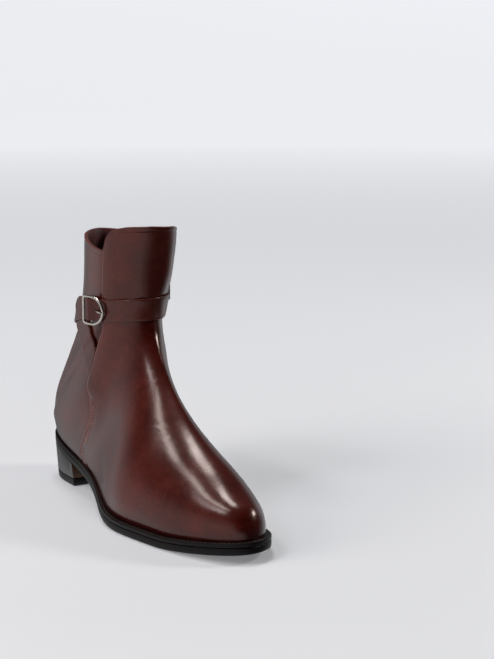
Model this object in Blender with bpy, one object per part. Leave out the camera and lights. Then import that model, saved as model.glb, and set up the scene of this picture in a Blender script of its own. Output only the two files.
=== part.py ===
"""Right ankle boot with a medial zip and a buckled wrap strap, as separate pieces.

Lengths are in millimetres until a mesh is made. A point is (x, s, z): x runs from the lateral to the
medial side, s runs forward from the back of the heel, and z runs up from the floor.
"""

import math
from collections import namedtuple

import bmesh
import bpy
import numpy as np
from mathutils import Vector

MM = 0.001
GAP = 0.3

# Sole sizes
OUTSOLE_THICK = 5.0
WELT_THICK_FRONT = 2.8
WELT_THICK_HEEL = 1.8
HEEL_LENGTH = 51.5
TOP_LIFT_THICK = 5.5
HEEL_TAPER = 1.6
INSOLE_RISE = 1.4
SOLE_STATIONS = 46
RING_POINTS = 96

# Upper sizes
WALL = 2.2
TOE_RADIUS = 27.0
TOE_HEIGHT = 27.5
HEEL_RADIUS = 28.0
ROW_STEP = 9.0
TOP_ROWS = 6
LAP_STEP = 1.5
LAP_REACH_LOW = 13.0
LAP_REACH_HIGH = 44.0
LAP_FRONT_STEP = 0.3
LAP_FOOT_Z = 40.0

# Upright axis that the strap angles turn about: 0 is forward, positive is medial
AXIS_X = 5.0
AXIS_S = 70.0

# Straps
STRAP_WIDTH = 15.5
STRAP_THICK = 1.5
STRAP_SEAT = 0.35
STRAP_STOP = 1.0

# Zip
ZIP_ANGLE = 86.0
ZIP_SLOT = 9.0
ZIP_FOOT_Z = 41.0
ZIP_POINT = 6.0
TAPE_BACK = -1.7
TAPE_FACE = -0.5
CHAIN_WIDTH = 5.0
CHAIN_RISE = 1.2

OutlinePoint = namedtuple("OutlinePoint", "s x")
SOLE_OUTLINE = [
    OutlinePoint(0, 0), OutlinePoint(7, -19), OutlinePoint(27, -28.3), OutlinePoint(55, -28),
    OutlinePoint(88, -29.8), OutlinePoint(119, -38), OutlinePoint(150, -45), OutlinePoint(180, -41),
    OutlinePoint(210, -33), OutlinePoint(238, -20.3), OutlinePoint(261.5, 4), OutlinePoint(252.5, 22.2),
    OutlinePoint(228, 32.2), OutlinePoint(192, 35.8), OutlinePoint(160, 32), OutlinePoint(122, 23),
    OutlinePoint(90, 23), OutlinePoint(60, 27), OutlinePoint(27, 28), OutlinePoint(7, 19),
]

# Underside of the outsole: heel seat, shank, flat tread and toe spring
Level = namedtuple("Level", "s z")
UNDERSIDE = [
    Level(0, 28.3), Level(25, 24.6), Level(50, 18.2), Level(75, 12.5), Level(100, 7.6), Level(125, 3.5),
    Level(145, 1.2), Level(165, 0), Level(185, 0), Level(205, 0), Level(222, 1.2), Level(240, 3.2),
    Level(262, 6.3),
]

# How far the welt shows outside the upper
Reveal = namedtuple("Reveal", "s width")
WELT_REVEAL = [Reveal(0, 1.2), Reveal(60, 1.6), Reveal(110, 2.4), Reveal(150, 3.8), Reveal(262, 4.0)]

# Foot sections: each runs from the crest (front) down to the feather line (foot) on both sides.
# bulge is how far the widest point stands outside the feather, wide_at its share of the height.
FootSection = namedtuple("FootSection", "front_s front_z foot_s bulge_lat bulge_med wide_at square crest_x")
FOOT_SECTIONS = [
    FootSection(229, 43.5, 228, 0.8, 0.3, 0.17, 1.98, 7.2),
    FootSection(214, 51.5, 213, 1.3, 0.5, 0.18, 1.80, 6.2),
    FootSection(200, 58.0, 197, 1.6, 0.5, 0.20, 1.68, 5.2),
    FootSection(187, 65.0, 180, 1.6, 0.5, 0.20, 1.62, 4.3),
    FootSection(175, 72.5, 161, 1.4, 0.7, 0.20, 1.62, 3.6),
    FootSection(163, 81.5, 141, 1.0, 1.2, 0.20, 1.66, 3.0),
    FootSection(151.5, 91.0, 119, 1.0, 2.2, 0.21, 1.72, 2.7),
    FootSection(141.5, 100.5, 97, 1.2, 2.2, 0.22, 1.80, 2.7),
    FootSection(133, 110.0, 75, 1.5, 1.6, 0.23, 1.88, 2.9),
    FootSection(126.5, 119.0, 53, 1.5, 1.6, 0.24, 1.96, 3.3),
]

# Heel sections: the foot of each one runs round the heel seat by turn, in degrees
HeelSection = namedtuple("HeelSection", "front_s front_z turn lateral medial wide_at square crest_x back_square")
HEEL_SECTIONS = [
    HeelSection(122.8, 127.0, 90, -29.6, 29.6, 0.23, 2.02, 3.8, 2.3),
    HeelSection(120.8, 133.0, 68, -29.4, 29.8, 0.22, 2.06, 4.3, 2.4),
    HeelSection(119.7, 138.0, 46, -28.9, 30.0, 0.22, 2.12, 4.8, 2.45),
    HeelSection(119.2, 142.0, 24, -28.1, 30.2, 0.22, 2.18, 5.3, 2.5),
    HeelSection(119.0, 145.5, 0, -27.1, 30.4, 0.23, 2.24, 5.7, 2.5),
]

# Shaft sections: closed rings from the front line to the back line of the boot
ShaftSection = namedtuple(
    "ShaftSection", "front_s front_z back_s back_z lateral medial wide_at square crest_x back_x back_square")
SHAFT_SECTIONS = [
    ShaftSection(119.0, 148.5, 0.2, 46, -25.9, 30.3, 0.25, 2.38, 6.1, 0.0, 2.4),
    ShaftSection(119.0, 151.5, 1.3, 57, -24.1, 30.1, 0.28, 2.50, 6.6, 0.3, 2.15),
    ShaftSection(119.1, 155.0, 5.6, 69, -22.5, 30.1, 0.32, 2.62, 7.1, 0.9, 1.9),
    ShaftSection(119.2, 159.0, 11.6, 82, -21.5, 30.6, 0.37, 2.66, 7.5, 1.8, 1.74),
    ShaftSection(119.4, 163.0, 17.6, 95, -20.9, 31.5, 0.42, 2.62, 7.9, 2.9, 1.68),
    ShaftSection(119.6, 167.5, 22.0, 108, -20.5, 32.6, 0.45, 2.54, 8.2, 4.1, 1.68),
    ShaftSection(119.9, 172.5, 24.2, 122, -20.1, 33.8, 0.47, 2.44, 8.4, 5.3, 1.70),
    ShaftSection(120.3, 178.0, 26.0, 137, -19.7, 35.0, 0.49, 2.34, 8.5, 6.4, 1.73),
    ShaftSection(120.8, 184.0, 26.9, 153, -19.3, 36.2, 0.50, 2.26, 8.7, 7.4, 1.77),
    ShaftSection(121.3, 191.0, 27.3, 169, -19.0, 37.2, 0.50, 2.20, 8.8, 8.2, 1.80),
    ShaftSection(121.8, 202.0, 27.7, 190, -18.6, 38.0, 0.50, 2.20, 8.9, 8.8, 1.80),
]
FOOT_BACK_SQUARE = 2.2

# Top edge of the leather by angle; the lap notch and the zip dip are its two low points
Topline = namedtuple("Topline", "angle z")
TOPLINE = [
    Topline(-180, 183.0), Topline(-140, 182.0), Topline(-100, 179.0), Topline(-60, 176.5), Topline(-45.0, 176.0),
    Topline(-43.3, 179.5), Topline(-40.8, 185.5), Topline(-36.3, 190.0), Topline(-29.5, 192.7),
    Topline(-18, 194.6), Topline(0, 195.0), Topline(25, 193.0), Topline(50, 188.0), Topline(75, 179.0),
    Topline(86, 176.0), Topline(100, 176.5), Topline(140, 181.0), Topline(180, 183.0),
]

# Rear edge of the vamp, which laps over the lateral quarter
LapPoint = namedtuple("LapPoint", "z angle")
LAP_LINE = [
    LapPoint(36, -91.0), LapPoint(40, -85.0), LapPoint(50, -72.0), LapPoint(59, -64.5), LapPoint(68, -64.0),
    LapPoint(74, -64.8), LapPoint(81, -67.0), LapPoint(88, -64.0), LapPoint(94.5, -60.5), LapPoint(104, -55.5),
    LapPoint(113, -51.5), LapPoint(122, -48.5), LapPoint(135, -46.5), LapPoint(150, -46.0), LapPoint(178, -45.0),
    LapPoint(196, -45.0),
]

# Strap routes: angle round the boot, height of the middle, height of the underside above the leather
StrapPoint = namedtuple("StrapPoint", "angle z lift")
ANKLE_STRAP = [
    StrapPoint(86, 131.6, 0.1), StrapPoint(74, 133.0, 0.1), StrapPoint(55, 135.6, 0.1), StrapPoint(30, 138.0, 0.1),
    StrapPoint(12, 138.8, 0.2), StrapPoint(0, 138.7, 0.6), StrapPoint(-10, 138.3, 0.85), StrapPoint(-20, 137.6, 1.0),
    StrapPoint(-30, 136.8, 1.2), StrapPoint(-38, 136.0, 1.4), StrapPoint(-47, 135.4, 1.65), StrapPoint(-53, 135.2, 2.8),
    StrapPoint(-61, 135.1, 6.0), StrapPoint(-67, 135.1, 5.0), StrapPoint(-74, 135.0, 3.7), StrapPoint(-90, 134.3, 3.7),
    StrapPoint(-112, 133.4, 3.9),
]
REAR_STRAP = [
    StrapPoint(86, 129.6, 0.1), StrapPoint(105, 128.6, 0.1), StrapPoint(125, 127.8, 0.1), StrapPoint(150, 127.0, 0.1),
    StrapPoint(168, 126.7, 0.2), StrapPoint(180, 126.6, 0.4), StrapPoint(192, 126.5, 0.2), StrapPoint(225, 126.4, 0.1),
    StrapPoint(244, 124.0, 0.1), StrapPoint(260, 119.5, 0.1), StrapPoint(275, 113.4, 0.1), StrapPoint(289, 105.4, 0.1),
    StrapPoint(299, 97.5, 0.1), StrapPoint(308, 89.0, 0.1),
]
BUCKLE_STRAP = [
    StrapPoint(87, 78.2, 0.5), StrapPoint(95, 81.6, 0.5), StrapPoint(110, 88.0, 0.5), StrapPoint(130, 96.5, 0.5),
    StrapPoint(145, 102.5, 0.5), StrapPoint(155, 106.4, 1.3), StrapPoint(163, 109.5, 2.0), StrapPoint(180, 116.0, 2.6),
    StrapPoint(200, 122.0, 2.1), StrapPoint(222, 127.0, 2.0), StrapPoint(245, 131.0, 2.0), StrapPoint(262, 133.2, 2.0),
    StrapPoint(276, 134.3, 1.6), StrapPoint(287, 134.9, 1.0), StrapPoint(295, 135.1, 0.8),
]

# Buckle
BUCKLE_ANGLE = -55.5
BUCKLE_Z = 135.2
BUCKLE_LIFT = 6.05
BUCKLE_TILT = 8.5
BUCKLE_HALF_LENGTH = 9.7
BUCKLE_HALF_HEIGHT = 9.5
BUCKLE_STRAIGHT = 0.42
BUCKLE_WIRE = 2.1
BUCKLE_CORNER = 2.2
BAR_WIRE = 1.6
BAR_AT = 3.0
BAR_DROP = 1.75
PRONG_WIRE = 1.7
PRONG_ROOT = (1.2, 0.0, -2.4)
PRONG_TIP = (-10.9, 0.0, 2.75)
PRONG_HOLE = (-4.6, -1.3, -6.0, 2.2, 1.3, 6.0)

# Zip slider and its pull
SLIDER_Z = 169.5
SLIDER_LENGTH = 11.0
SLIDER_WIDTH = 7.6
SLIDER_THICK = 2.6
BRIDGE_WIDTH = 2.4
BRIDGE_THICK = 1.0
BRIDGE_POST = 1.2
BRIDGE_CLEAR = 0.45
PIN_RADIUS = 0.8
PIN_AT = 1.2
PULL_WIDTH = 6.4
PULL_LENGTH = 36.0
PULL_THICK = 1.5
PULL_ARM = 1.5
PULL_EYE = 6.0

Finish = namedtuple("Finish", "colour roughness metallic")
FINISHES = {
    "calf_leather": Finish((0.085, 0.018, 0.014), 0.32, 0.0),
    "strap_leather": Finish((0.095, 0.022, 0.017), 0.36, 0.0),
    "sole_leather": Finish((0.012, 0.010, 0.010), 0.42, 0.0),
    "stacked_leather": Finish((0.020, 0.014, 0.011), 0.45, 0.0),
    "rubber": Finish((0.010, 0.010, 0.010), 0.70, 0.0),
    "lining_leather": Finish((0.130, 0.050, 0.055), 0.60, 0.0),
    "nickel": Finish((0.620, 0.600, 0.570), 0.22, 1.0),
    "zip_tape": Finish((0.012, 0.012, 0.013), 0.80, 0.0),
    "dark_nickel": Finish((0.300, 0.290, 0.270), 0.30, 1.0),
}


def natural_spline(knots, values):
    """Smooth function through (knots, values), with no bend at its two ends; values may have columns."""
    knots = np.asarray(knots, float)
    values = np.asarray(values, float)
    columns = values.reshape(len(knots), -1)
    count = len(knots)
    step = np.diff(knots)
    matrix = np.eye(count)
    right = np.zeros(columns.shape)
    for i in range(1, count - 1):
        matrix[i, i - 1 : i + 2] = [step[i - 1], 2 * (step[i - 1] + step[i]), step[i]]
        right[i] = 6 * ((columns[i + 1] - columns[i]) / step[i] - (columns[i] - columns[i - 1]) / step[i - 1])
    bend = np.linalg.solve(matrix, right)

    def curve(at):
        at = np.asarray(at, float)
        flat = np.clip(at.reshape(-1), knots[0], knots[-1])
        k = np.clip(np.searchsorted(knots, flat) - 1, 0, count - 2)
        before = (knots[k + 1] - flat)[:, None]
        after = (flat - knots[k])[:, None]
        width = step[k][:, None]
        cubic = (bend[k] * before**3 + bend[k + 1] * after**3) / (6 * width)
        line = (columns[k] / width - bend[k] * width / 6) * before
        line = line + (columns[k + 1] / width - bend[k + 1] * width / 6) * after
        return (cubic + line).reshape(at.shape + values.shape[1:])

    return curve


def closed_loop(points, count):
    """Evenly spaced points on a smooth closed curve through the given ones."""
    points = np.asarray(points, float)
    over = 3
    wrapped = np.concatenate([points[-over:], points, points[: over + 1]])
    along = np.concatenate([[0], np.cumsum(np.linalg.norm(np.diff(wrapped, axis=0), axis=1))])
    curve = natural_spline(along, wrapped)
    return curve(np.linspace(along[over], along[over + len(points)], count, endpoint=False))


def inset(loop, distance):
    """The loop moved inwards by a distance, which may differ from point to point."""
    ahead = np.roll(loop, -1, axis=0) - np.roll(loop, 1, axis=0)
    ahead = ahead / np.linalg.norm(ahead, axis=1)[:, None]
    side = np.stack([-ahead[:, 1], ahead[:, 0]], axis=1)
    if np.mean(np.sum(side * (loop.mean(axis=0) - loop), axis=1)) < 0:
        side = -side
    return loop + side * np.reshape(distance, (-1, 1))


def two_sides(loop):
    """Lateral and medial x of a sole-shaped loop as functions of s, with the range of s."""
    start = np.argmin(loop[:, 0])
    turned = np.roll(loop, -start, axis=0)
    toe = np.argmax(turned[:, 0])
    lateral = turned[: toe + 1]
    medial = np.concatenate([turned[toe:], turned[:1]])[::-1]

    def lateral_x(s):
        return np.interp(s, lateral[:, 0], lateral[:, 1])

    def medial_x(s):
        return np.interp(s, medial[:, 0], medial[:, 1])

    return lateral_x, medial_x, turned[0, 0], turned[toe, 0]


def interp_table(table, at):
    """Straight-line value of a two-column table."""
    columns = np.array(table, float)
    return np.interp(at, columns[:, 0], columns[:, 1])


class SoleShape:
    """Outline and levels of the sole, which the upper and the heel stand on."""

    def __init__(self):
        self.outline = closed_loop([(p.s, p.x) for p in SOLE_OUTLINE], 720)
        self.feather = inset(self.outline, interp_table(WELT_REVEAL, self.outline[:, 0]))
        self.lateral, self.medial, self.heel_s, self.toe_s = two_sides(self.feather)
        self._underside = natural_spline([p.s for p in UNDERSIDE], [p.z for p in UNDERSIDE])

    def underside(self, s):
        return np.maximum(self._underside(s), 0.0)

    def outsole_top(self, s):
        return self.underside(s) + OUTSOLE_THICK

    def welt_top(self, s):
        thick = np.interp(s, [HEEL_LENGTH, 2 * HEEL_LENGTH], [WELT_THICK_HEEL, WELT_THICK_FRONT])
        return self.outsole_top(s) + GAP + thick

    def feather_z(self, s):
        return self.welt_top(s) + GAP


class LastShape:
    """Outer leather surface of the boot as a fan of sections from the toe to the top edge.

    A place on it is (t, tau): t counts along the fan, and tau runs from -1 at the lateral foot of the
    section, through 0 on the crest, to 1 at the medial foot. On the closed shaft rings -1 and 1 meet.
    """

    def __init__(self, sole):
        self.sole = sole
        rows = self._toe_rows() + self._foot_rows() + self._heel_rows()
        self.open_rows = len(rows)
        rows = np.array(rows + self._shaft_rows(), float)
        moved = np.linalg.norm(np.diff(rows[:, :4], axis=0), axis=1)
        self.knots = np.concatenate([[0], np.cumsum(moved)])
        self.closes_at = self.knots[self.open_rows - 1]
        self.top = self.knots[-1]
        self._rows = natural_spline(self.knots, rows)
        self._shaft_polar()

    def _toe_rows(self):
        rows = []
        tip_x = float(self.sole.feather[np.argmax(self.sole.feather[:, 0]), 1])
        for turn in (4, 11, 21, 33, 47, 62):
            angle = math.radians(turn)
            s = self.sole.toe_s - TOE_RADIUS * (1 - math.cos(angle))
            z = float(self.sole.feather_z(s))
            height = TOE_HEIGHT * math.sin(angle)
            bulge = 0.4 * math.sin(angle)
            rows.append([s, z + height, s, z, self.sole.lateral(s) - bulge, self.sole.medial(s) + bulge,
                         0.12, 2.2, tip_x + 2 * math.sin(angle), 0.0, FOOT_BACK_SQUARE])
        return rows

    def _foot_rows(self):
        rows = []
        for row in FOOT_SECTIONS:
            z = float(self.sole.feather_z(row.foot_s))
            lateral = self.sole.lateral(row.foot_s) - row.bulge_lat
            medial = self.sole.medial(row.foot_s) + row.bulge_med
            rows.append([row.front_s, row.front_z, row.foot_s, z, lateral, medial,
                         row.wide_at, row.square, row.crest_x, 0.0, FOOT_BACK_SQUARE])
        return rows

    def _heel_rows(self):
        rows = []
        for row in HEEL_SECTIONS:
            s = self.sole.heel_s + HEEL_RADIUS * (1 - math.cos(math.radians(row.turn)))
            rows.append([row.front_s, row.front_z, s, float(self.sole.feather_z(s)), row.lateral, row.medial,
                         row.wide_at, row.square, row.crest_x, 0.0, row.back_square])
        return rows

    def _shaft_rows(self):
        return [[row.front_s, row.front_z, row.back_s, row.back_z, row.lateral, row.medial,
                 row.wide_at, row.square, row.crest_x, row.back_x, row.back_square] for row in SHAFT_SECTIONS]

    def at(self, t, tau):
        """Points (x, s, z) of the surface for arrays t and tau."""
        t, tau = np.broadcast_arrays(np.asarray(t, float), np.asarray(tau, float))
        row = np.moveaxis(self._rows(t), -1, 0)
        front_s, front_z, back_s, back_z, lateral, medial, wide_at, square, crest_x, back_x, lower = row
        is_open = t < self.closes_at - 1e-6
        foot_s = np.clip(back_s, self.sole.heel_s, self.sole.toe_s)
        back_s = np.where(is_open, foot_s, back_s)
        back_z = np.where(is_open, self.sole.feather_z(foot_s), back_z)
        foot_lat = self.sole.lateral(foot_s)
        foot_med = self.sole.medial(foot_s)
        back_x = np.where(is_open, (foot_lat + foot_med) / 2, back_x)
        is_lat = tau < 0
        foot = np.where(is_lat, foot_lat, foot_med)
        wide = np.where(is_lat, np.where(is_open, np.minimum(lateral, foot_lat - 0.05), lateral),
                        np.where(is_open, np.maximum(medial, foot_med + 0.05), medial))
        reach = np.where(is_open, np.clip((foot - back_x) / (wide - back_x), 0, 0.9999), 0.0)
        cut = (1 - reach**lower) ** (1 / lower)
        half = np.abs(tau)
        upper_angle = np.clip(1 - 2 * half, 0, 1) * math.pi / 2
        lower_angle = np.clip(2 * half - 1, 0, 1) * math.pi / 2
        drop = np.clip(cut * np.sin(lower_angle) ** (2 / lower), 0, 1)
        upper_x = crest_x + (wide - crest_x) * np.cos(upper_angle) ** (2 / square)
        upper_u = wide_at + (1 - wide_at) * np.sin(upper_angle) ** (2 / square)
        lower_x = back_x + (wide - back_x) * np.clip(1 - drop**lower, 0, 1) ** (1 / lower)
        lower_u = wide_at * (1 - drop / np.maximum(cut, 1e-6))
        x = np.where(half <= 0.5, upper_x, lower_x)
        u = np.where(half <= 0.5, upper_u, lower_u)
        return np.stack([x, back_s + (front_s - back_s) * u, back_z + (front_z - back_z) * u], axis=-1)

    def outward(self, t, tau):
        """Unit normals of the surface, by small steps along both of its parameters."""
        dt = 0.4
        dtau = 0.004
        t, tau = np.broadcast_arrays(np.asarray(t, float), np.asarray(tau, float))
        along = self.at(np.minimum(t + dt, self.top), tau) - self.at(np.maximum(t - dt, 0), tau)
        over = self._wrapped(t, tau + dtau) - self._wrapped(t, tau - dtau)
        normal = np.cross(along, over)
        return normal / np.maximum(np.linalg.norm(normal, axis=-1, keepdims=True), 1e-9)

    def _wrapped(self, t, tau):
        is_open = t < self.closes_at - 1e-6
        turned = np.where(tau > 1, tau - 2, np.where(tau < -1, tau + 2, tau))
        return self.at(t, np.where(is_open, np.clip(tau, -1, 1), turned))

    def t_at_height(self, tau, z):
        """Place along the fan where the surface at tau reaches height z."""
        low = np.zeros(np.broadcast(tau, z).shape)
        high = np.full(low.shape, self.top)
        for _ in range(34):
            middle = (low + high) / 2
            under = self.at(middle, tau)[..., 2] < z
            low = np.where(under, middle, low)
            high = np.where(under, high, middle)
        return (low + high) / 2

    def _shaft_polar(self):
        """Distance of the surface from the upright axis, by height and angle."""
        self.polar_z = np.arange(37.0, 200.1, 1.5)
        self.polar_angle = np.arange(-180.0, 180.1, 1.5)
        taus = np.linspace(-1, 1, 321)
        rays = []
        for z in self.polar_z:
            points = self.at(self.t_at_height(taus, z), taus)
            angle = np.degrees(np.arctan2(points[:, 0] - AXIS_X, points[:, 1] - AXIS_S))
            far = np.hypot(points[:, 0] - AXIS_X, points[:, 1] - AXIS_S)
            rays.append(np.interp(self.polar_angle, *self._sorted(angle, far), period=360))
        self.polar_far = np.array(rays)

    @staticmethod
    def _sorted(angle, far):
        order = np.argsort(angle)
        return angle[order], far[order]

    def round_at(self, angle, z):
        """Points of the surface by angle about the upright axis and height."""
        angle, z = np.broadcast_arrays(np.asarray(angle, float), np.asarray(z, float))
        turned = (angle + 180) % 360 - 180
        i = np.clip((z - self.polar_z[0]) / (self.polar_z[1] - self.polar_z[0]), 0, len(self.polar_z) - 1.001)
        j = np.clip((turned + 180) / (self.polar_angle[1] - self.polar_angle[0]), 0, len(self.polar_angle) - 1.001)
        i0 = i.astype(int)
        j0 = j.astype(int)
        far = self.polar_far
        low = far[i0, j0] * (1 - (j - j0)) + far[i0, j0 + 1] * (j - j0)
        high = far[i0 + 1, j0] * (1 - (j - j0)) + far[i0 + 1, j0 + 1] * (j - j0)
        reach = low * (1 - (i - i0)) + high * (i - i0)
        turn = np.radians(angle)
        return np.stack([AXIS_X + reach * np.sin(turn), AXIS_S + reach * np.cos(turn), z], axis=-1)

    def round_outward(self, angle, z):
        """Unit normals for places given by angle and height."""
        turn = 2.0
        rise = 2.0
        sideways = self.round_at(angle + turn, z) - self.round_at(angle - turn, z)
        upwards = self.round_at(angle, z + rise) - self.round_at(angle, z - rise)
        normal = np.cross(upwards, sideways)
        return normal / np.linalg.norm(normal, axis=-1, keepdims=True)


def lap_angle(z):
    """Angle of the vamp's rear edge at a height."""
    return natural_spline([p.z for p in LAP_LINE], [p.angle for p in LAP_LINE])(z)


def to_world(points):
    """Metres in the boot's own frame, toe towards -Y."""
    points = np.asarray(points, float)
    return np.stack([points[..., 0], -points[..., 1], points[..., 2]], axis=-1) * MM


def material(name):
    """The named finish as a material, made once."""
    found = bpy.data.materials.get(name)
    if found:
        return found
    finish = FINISHES[name]
    made = bpy.data.materials.new(name)
    made.use_nodes = True
    shader = made.node_tree.nodes["Principled BSDF"]
    shader.inputs["Base Color"].default_value = (*finish.colour, 1)
    shader.inputs["Roughness"].default_value = finish.roughness
    shader.inputs["Metallic"].default_value = finish.metallic
    return made


def add_solid(name, points, faces, finish, parent, origin=None):
    """A closed mesh object from points in millimetres; origin, in millimetres, becomes its location."""
    world = to_world(points)
    place = Vector((0, 0, 0)) if origin is None else Vector(to_world(origin))
    mesh = bpy.data.meshes.new(name)
    mesh.from_pydata([tuple(p) for p in world - np.array(place)], [], faces)
    shape = bmesh.new()
    shape.from_mesh(mesh)
    bmesh.ops.remove_doubles(shape, verts=shape.verts, dist=0.002 * MM)
    bmesh.ops.recalc_face_normals(shape, faces=shape.faces)
    shape.to_mesh(mesh)
    shape.free()
    mesh.shade_smooth()
    mesh.set_sharp_from_angle(angle=math.radians(35))
    mesh.materials.append(material(finish))
    obj = bpy.data.objects.new(name, mesh)
    bpy.context.collection.objects.link(obj)
    obj.parent = parent
    obj.location = place
    return obj


def helper(obj):
    """Marks a cutter or a piece that is joined into another one."""
    obj.hide_render = True
    obj.display_type = "WIRE"
    return obj


def boolean(target, tool, operation):
    """Cuts or joins the tool with a modifier that stays on the target."""
    modifier = target.modifiers.new(f"{operation.lower()}_{tool.name}", "BOOLEAN")
    modifier.operation = operation
    modifier.solver = "EXACT"
    modifier.object = helper(tool)


def grid_faces(rows, columns, first, wrap=False):
    """Quads over a grid of points that is stored row by row from index first."""
    faces = []
    for i in range(rows - 1):
        for j in range(columns if wrap else columns - 1):
            k = (j + 1) % columns
            faces.append((first + i * columns + j, first + i * columns + k,
                          first + (i + 1) * columns + k, first + (i + 1) * columns + j))
    return faces


def shell(low, high):
    """Points and faces of a solid between two grids of the same size, with its four sides closed."""
    rows, columns = low.shape[:2]
    points = np.concatenate([low.reshape(-1, 3), high.reshape(-1, 3)])
    size = rows * columns
    faces = grid_faces(rows, columns, 0) + grid_faces(rows, columns, size)
    for i in range(rows - 1):
        for j in (0, columns - 1):
            a = i * columns + j
            faces.append((a, a + columns, a + columns + size, a + size))
    for j in range(columns - 1):
        for i in (0, rows - 1):
            a = i * columns + j
            faces.append((a, a + 1, a + 1 + size, a + size))
    return points, faces


def slab(low, high):
    """Solid between two sole-shaped faces, each given as rows (s, lateral x, medial x, z)."""
    def face(rows):
        return np.stack([np.stack([rows[:, 1], rows[:, 0], rows[:, 3]], axis=1),
                         np.stack([rows[:, 2], rows[:, 0], rows[:, 3]], axis=1)], axis=1)
    return shell(face(low), face(high))


def sole_rows(loop, level, count, s_end=None):
    """Rows (s, lateral x, medial x, z) across a sole-shaped loop, closer together at its two ends."""
    lateral, medial, start, end = two_sides(loop)
    share = (1 - np.cos(np.linspace(0.06, 1, count) * math.pi)) / 2
    if s_end is None:
        share = (1 - np.cos(np.linspace(0.035, 0.965, count) * math.pi)) / 2
        s = start + (end - start) * share
    else:
        share = 1 - np.cos(np.linspace(0.05, 0.5, count) * math.pi)
        s = start + (s_end - start) * share
    return np.stack([s, lateral(s), medial(s), level(s)], axis=1)


def build_sole(sole, root):
    """Outsole, welt, heel block, top lift and insole."""
    low = sole_rows(sole.outline, sole.underside, SOLE_STATIONS)
    high = sole_rows(sole.outline, sole.outsole_top, SOLE_STATIONS)
    add_solid("outsole", *slab(low, high), "sole_leather", root)

    ring = closed_loop([(p.s, p.x) for p in SOLE_OUTLINE], RING_POINTS)
    reveal = interp_table(WELT_REVEAL, ring[:, 0])
    rim = inset(ring, reveal + WALL + 0.6)
    grid = []
    for loop, level in ((ring, lambda s: sole.outsole_top(s) + GAP), (ring, sole.welt_top),
                        (rim, sole.welt_top), (rim, lambda s: sole.outsole_top(s) + GAP)):
        grid.append(np.stack([loop[:, 1], loop[:, 0], level(loop[:, 0])], axis=1))
    grid = np.array(grid)
    faces = grid_faces(4, RING_POINTS, 0, wrap=True)
    faces += [(3 * RING_POINTS + j, 3 * RING_POINTS + (j + 1) % RING_POINTS, (j + 1) % RING_POINTS, j)
              for j in range(RING_POINTS)]
    add_solid("welt", grid.reshape(-1, 3), faces, "sole_leather", root)

    floor = inset(sole.outline, interp_table(WELT_REVEAL, sole.outline[:, 0]) + WALL + 0.6 + GAP)
    low = sole_rows(floor, lambda s: sole.outsole_top(s) + GAP, SOLE_STATIONS)
    high = sole_rows(floor, lambda s: sole.welt_top(s) + INSOLE_RISE, SOLE_STATIONS)
    add_solid("insole", *slab(low, high), "lining_leather", root)

    seat = inset(sole.outline, 0.3)
    tread = inset(sole.outline, HEEL_TAPER)
    block_low = sole_rows(tread, lambda s: 0 * s + TOP_LIFT_THICK + GAP, 20, HEEL_LENGTH)
    block_high = sole_rows(seat, lambda s: sole.underside(s) - GAP, 20, HEEL_LENGTH)
    add_solid("heel_block", *slab(block_low, block_high), "stacked_leather", root)
    lift_low = sole_rows(inset(sole.outline, HEEL_TAPER + 0.4), lambda s: 0 * s, 20, HEEL_LENGTH)
    lift_high = sole_rows(tread, lambda s: 0 * s + TOP_LIFT_THICK, 20, HEEL_LENGTH)
    add_solid("heel_top_lift", *slab(lift_low, lift_high), "rubber", root)


def upper_columns():
    """Places across a section, closer together at the lap notch and the zip."""
    lateral = [-1, -0.95, -0.88, -0.8, -0.72, -0.64, -0.56, -0.48, -0.43, -0.4, -0.38,
               -0.36, -0.335, -0.3, -0.25, -0.18, -0.1, -0.04]
    medial = [0.04, 0.1, 0.18, 0.26, 0.34, 0.42, 0.5, 0.58, 0.66, 0.74, 0.82, 0.89, 0.95, 1]
    return np.array(lateral + [0] + medial)


def build_upper(last, root):
    """One hollow wall from the welt to the top edge, with the lap step joined on and the zip slot cut out."""
    taus = upper_columns()
    start_of_top = last.knots[-6]
    body = []
    for a, b in zip(last.knots[:-1], last.knots[1:]):
        if b <= start_of_top + 1e-6:
            body.extend(np.linspace(a, b, max(1, round((b - a) / ROW_STEP)), endpoint=False))
    body_t = np.repeat(np.array(body)[:, None], len(taus), axis=1)
    rim_guess = last.at(last.t_at_height(taus, 185.0), taus)
    rim_angle = np.degrees(np.arctan2(rim_guess[:, 0] - AXIS_X, rim_guess[:, 1] - AXIS_S))
    rim_t = last.t_at_height(taus, interp_table(TOPLINE, rim_angle))
    share = np.linspace(0, 1, TOP_ROWS)[:, None]
    t = np.concatenate([body_t, start_of_top + (rim_t - start_of_top) * share])
    tau = np.broadcast_to(taus, t.shape)
    outer = last.at(t, tau)
    inner = outer - WALL * last.outward(t, tau)
    is_open = t < last.closes_at - 1e-6
    for side in (0, -1):
        foot = is_open[:, side]
        inner[foot, side] = feather_inside(last, outer[foot, side])
        inner[~foot, side] = inner[~foot, 0]
    inner[0] = feather_inside(last, outer[0])
    outer[~is_open[:, 0], -1] = outer[~is_open[:, 0], 0]
    points, faces = shell(inner, outer)
    closed = np.count_nonzero(~is_open[:, 0])
    upper = add_solid("upper", points, open_back(faces, outer.shape[:2], closed), "calf_leather", root)

    boolean(upper, lap_piece(last, root), "UNION")
    boolean(upper, zip_strip(last, "zip_slot", ZIP_SLOT / 2, -6.0, 6.0, 202.0, root), "DIFFERENCE")
    return upper


def feather_inside(last, foot):
    """Inner edge of the wall at the feather line, level with its outer edge."""
    middle = np.stack([(last.sole.lateral(foot[:, 1]) + last.sole.medial(foot[:, 1])) / 2,
                       np.clip(foot[:, 1], 30, 215)], axis=1)
    inwards = middle - foot[:, :2]
    inwards = inwards / np.linalg.norm(inwards, axis=1)[:, None]
    return np.column_stack([foot[:, :2] + WALL * inwards, foot[:, 2]])


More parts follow.
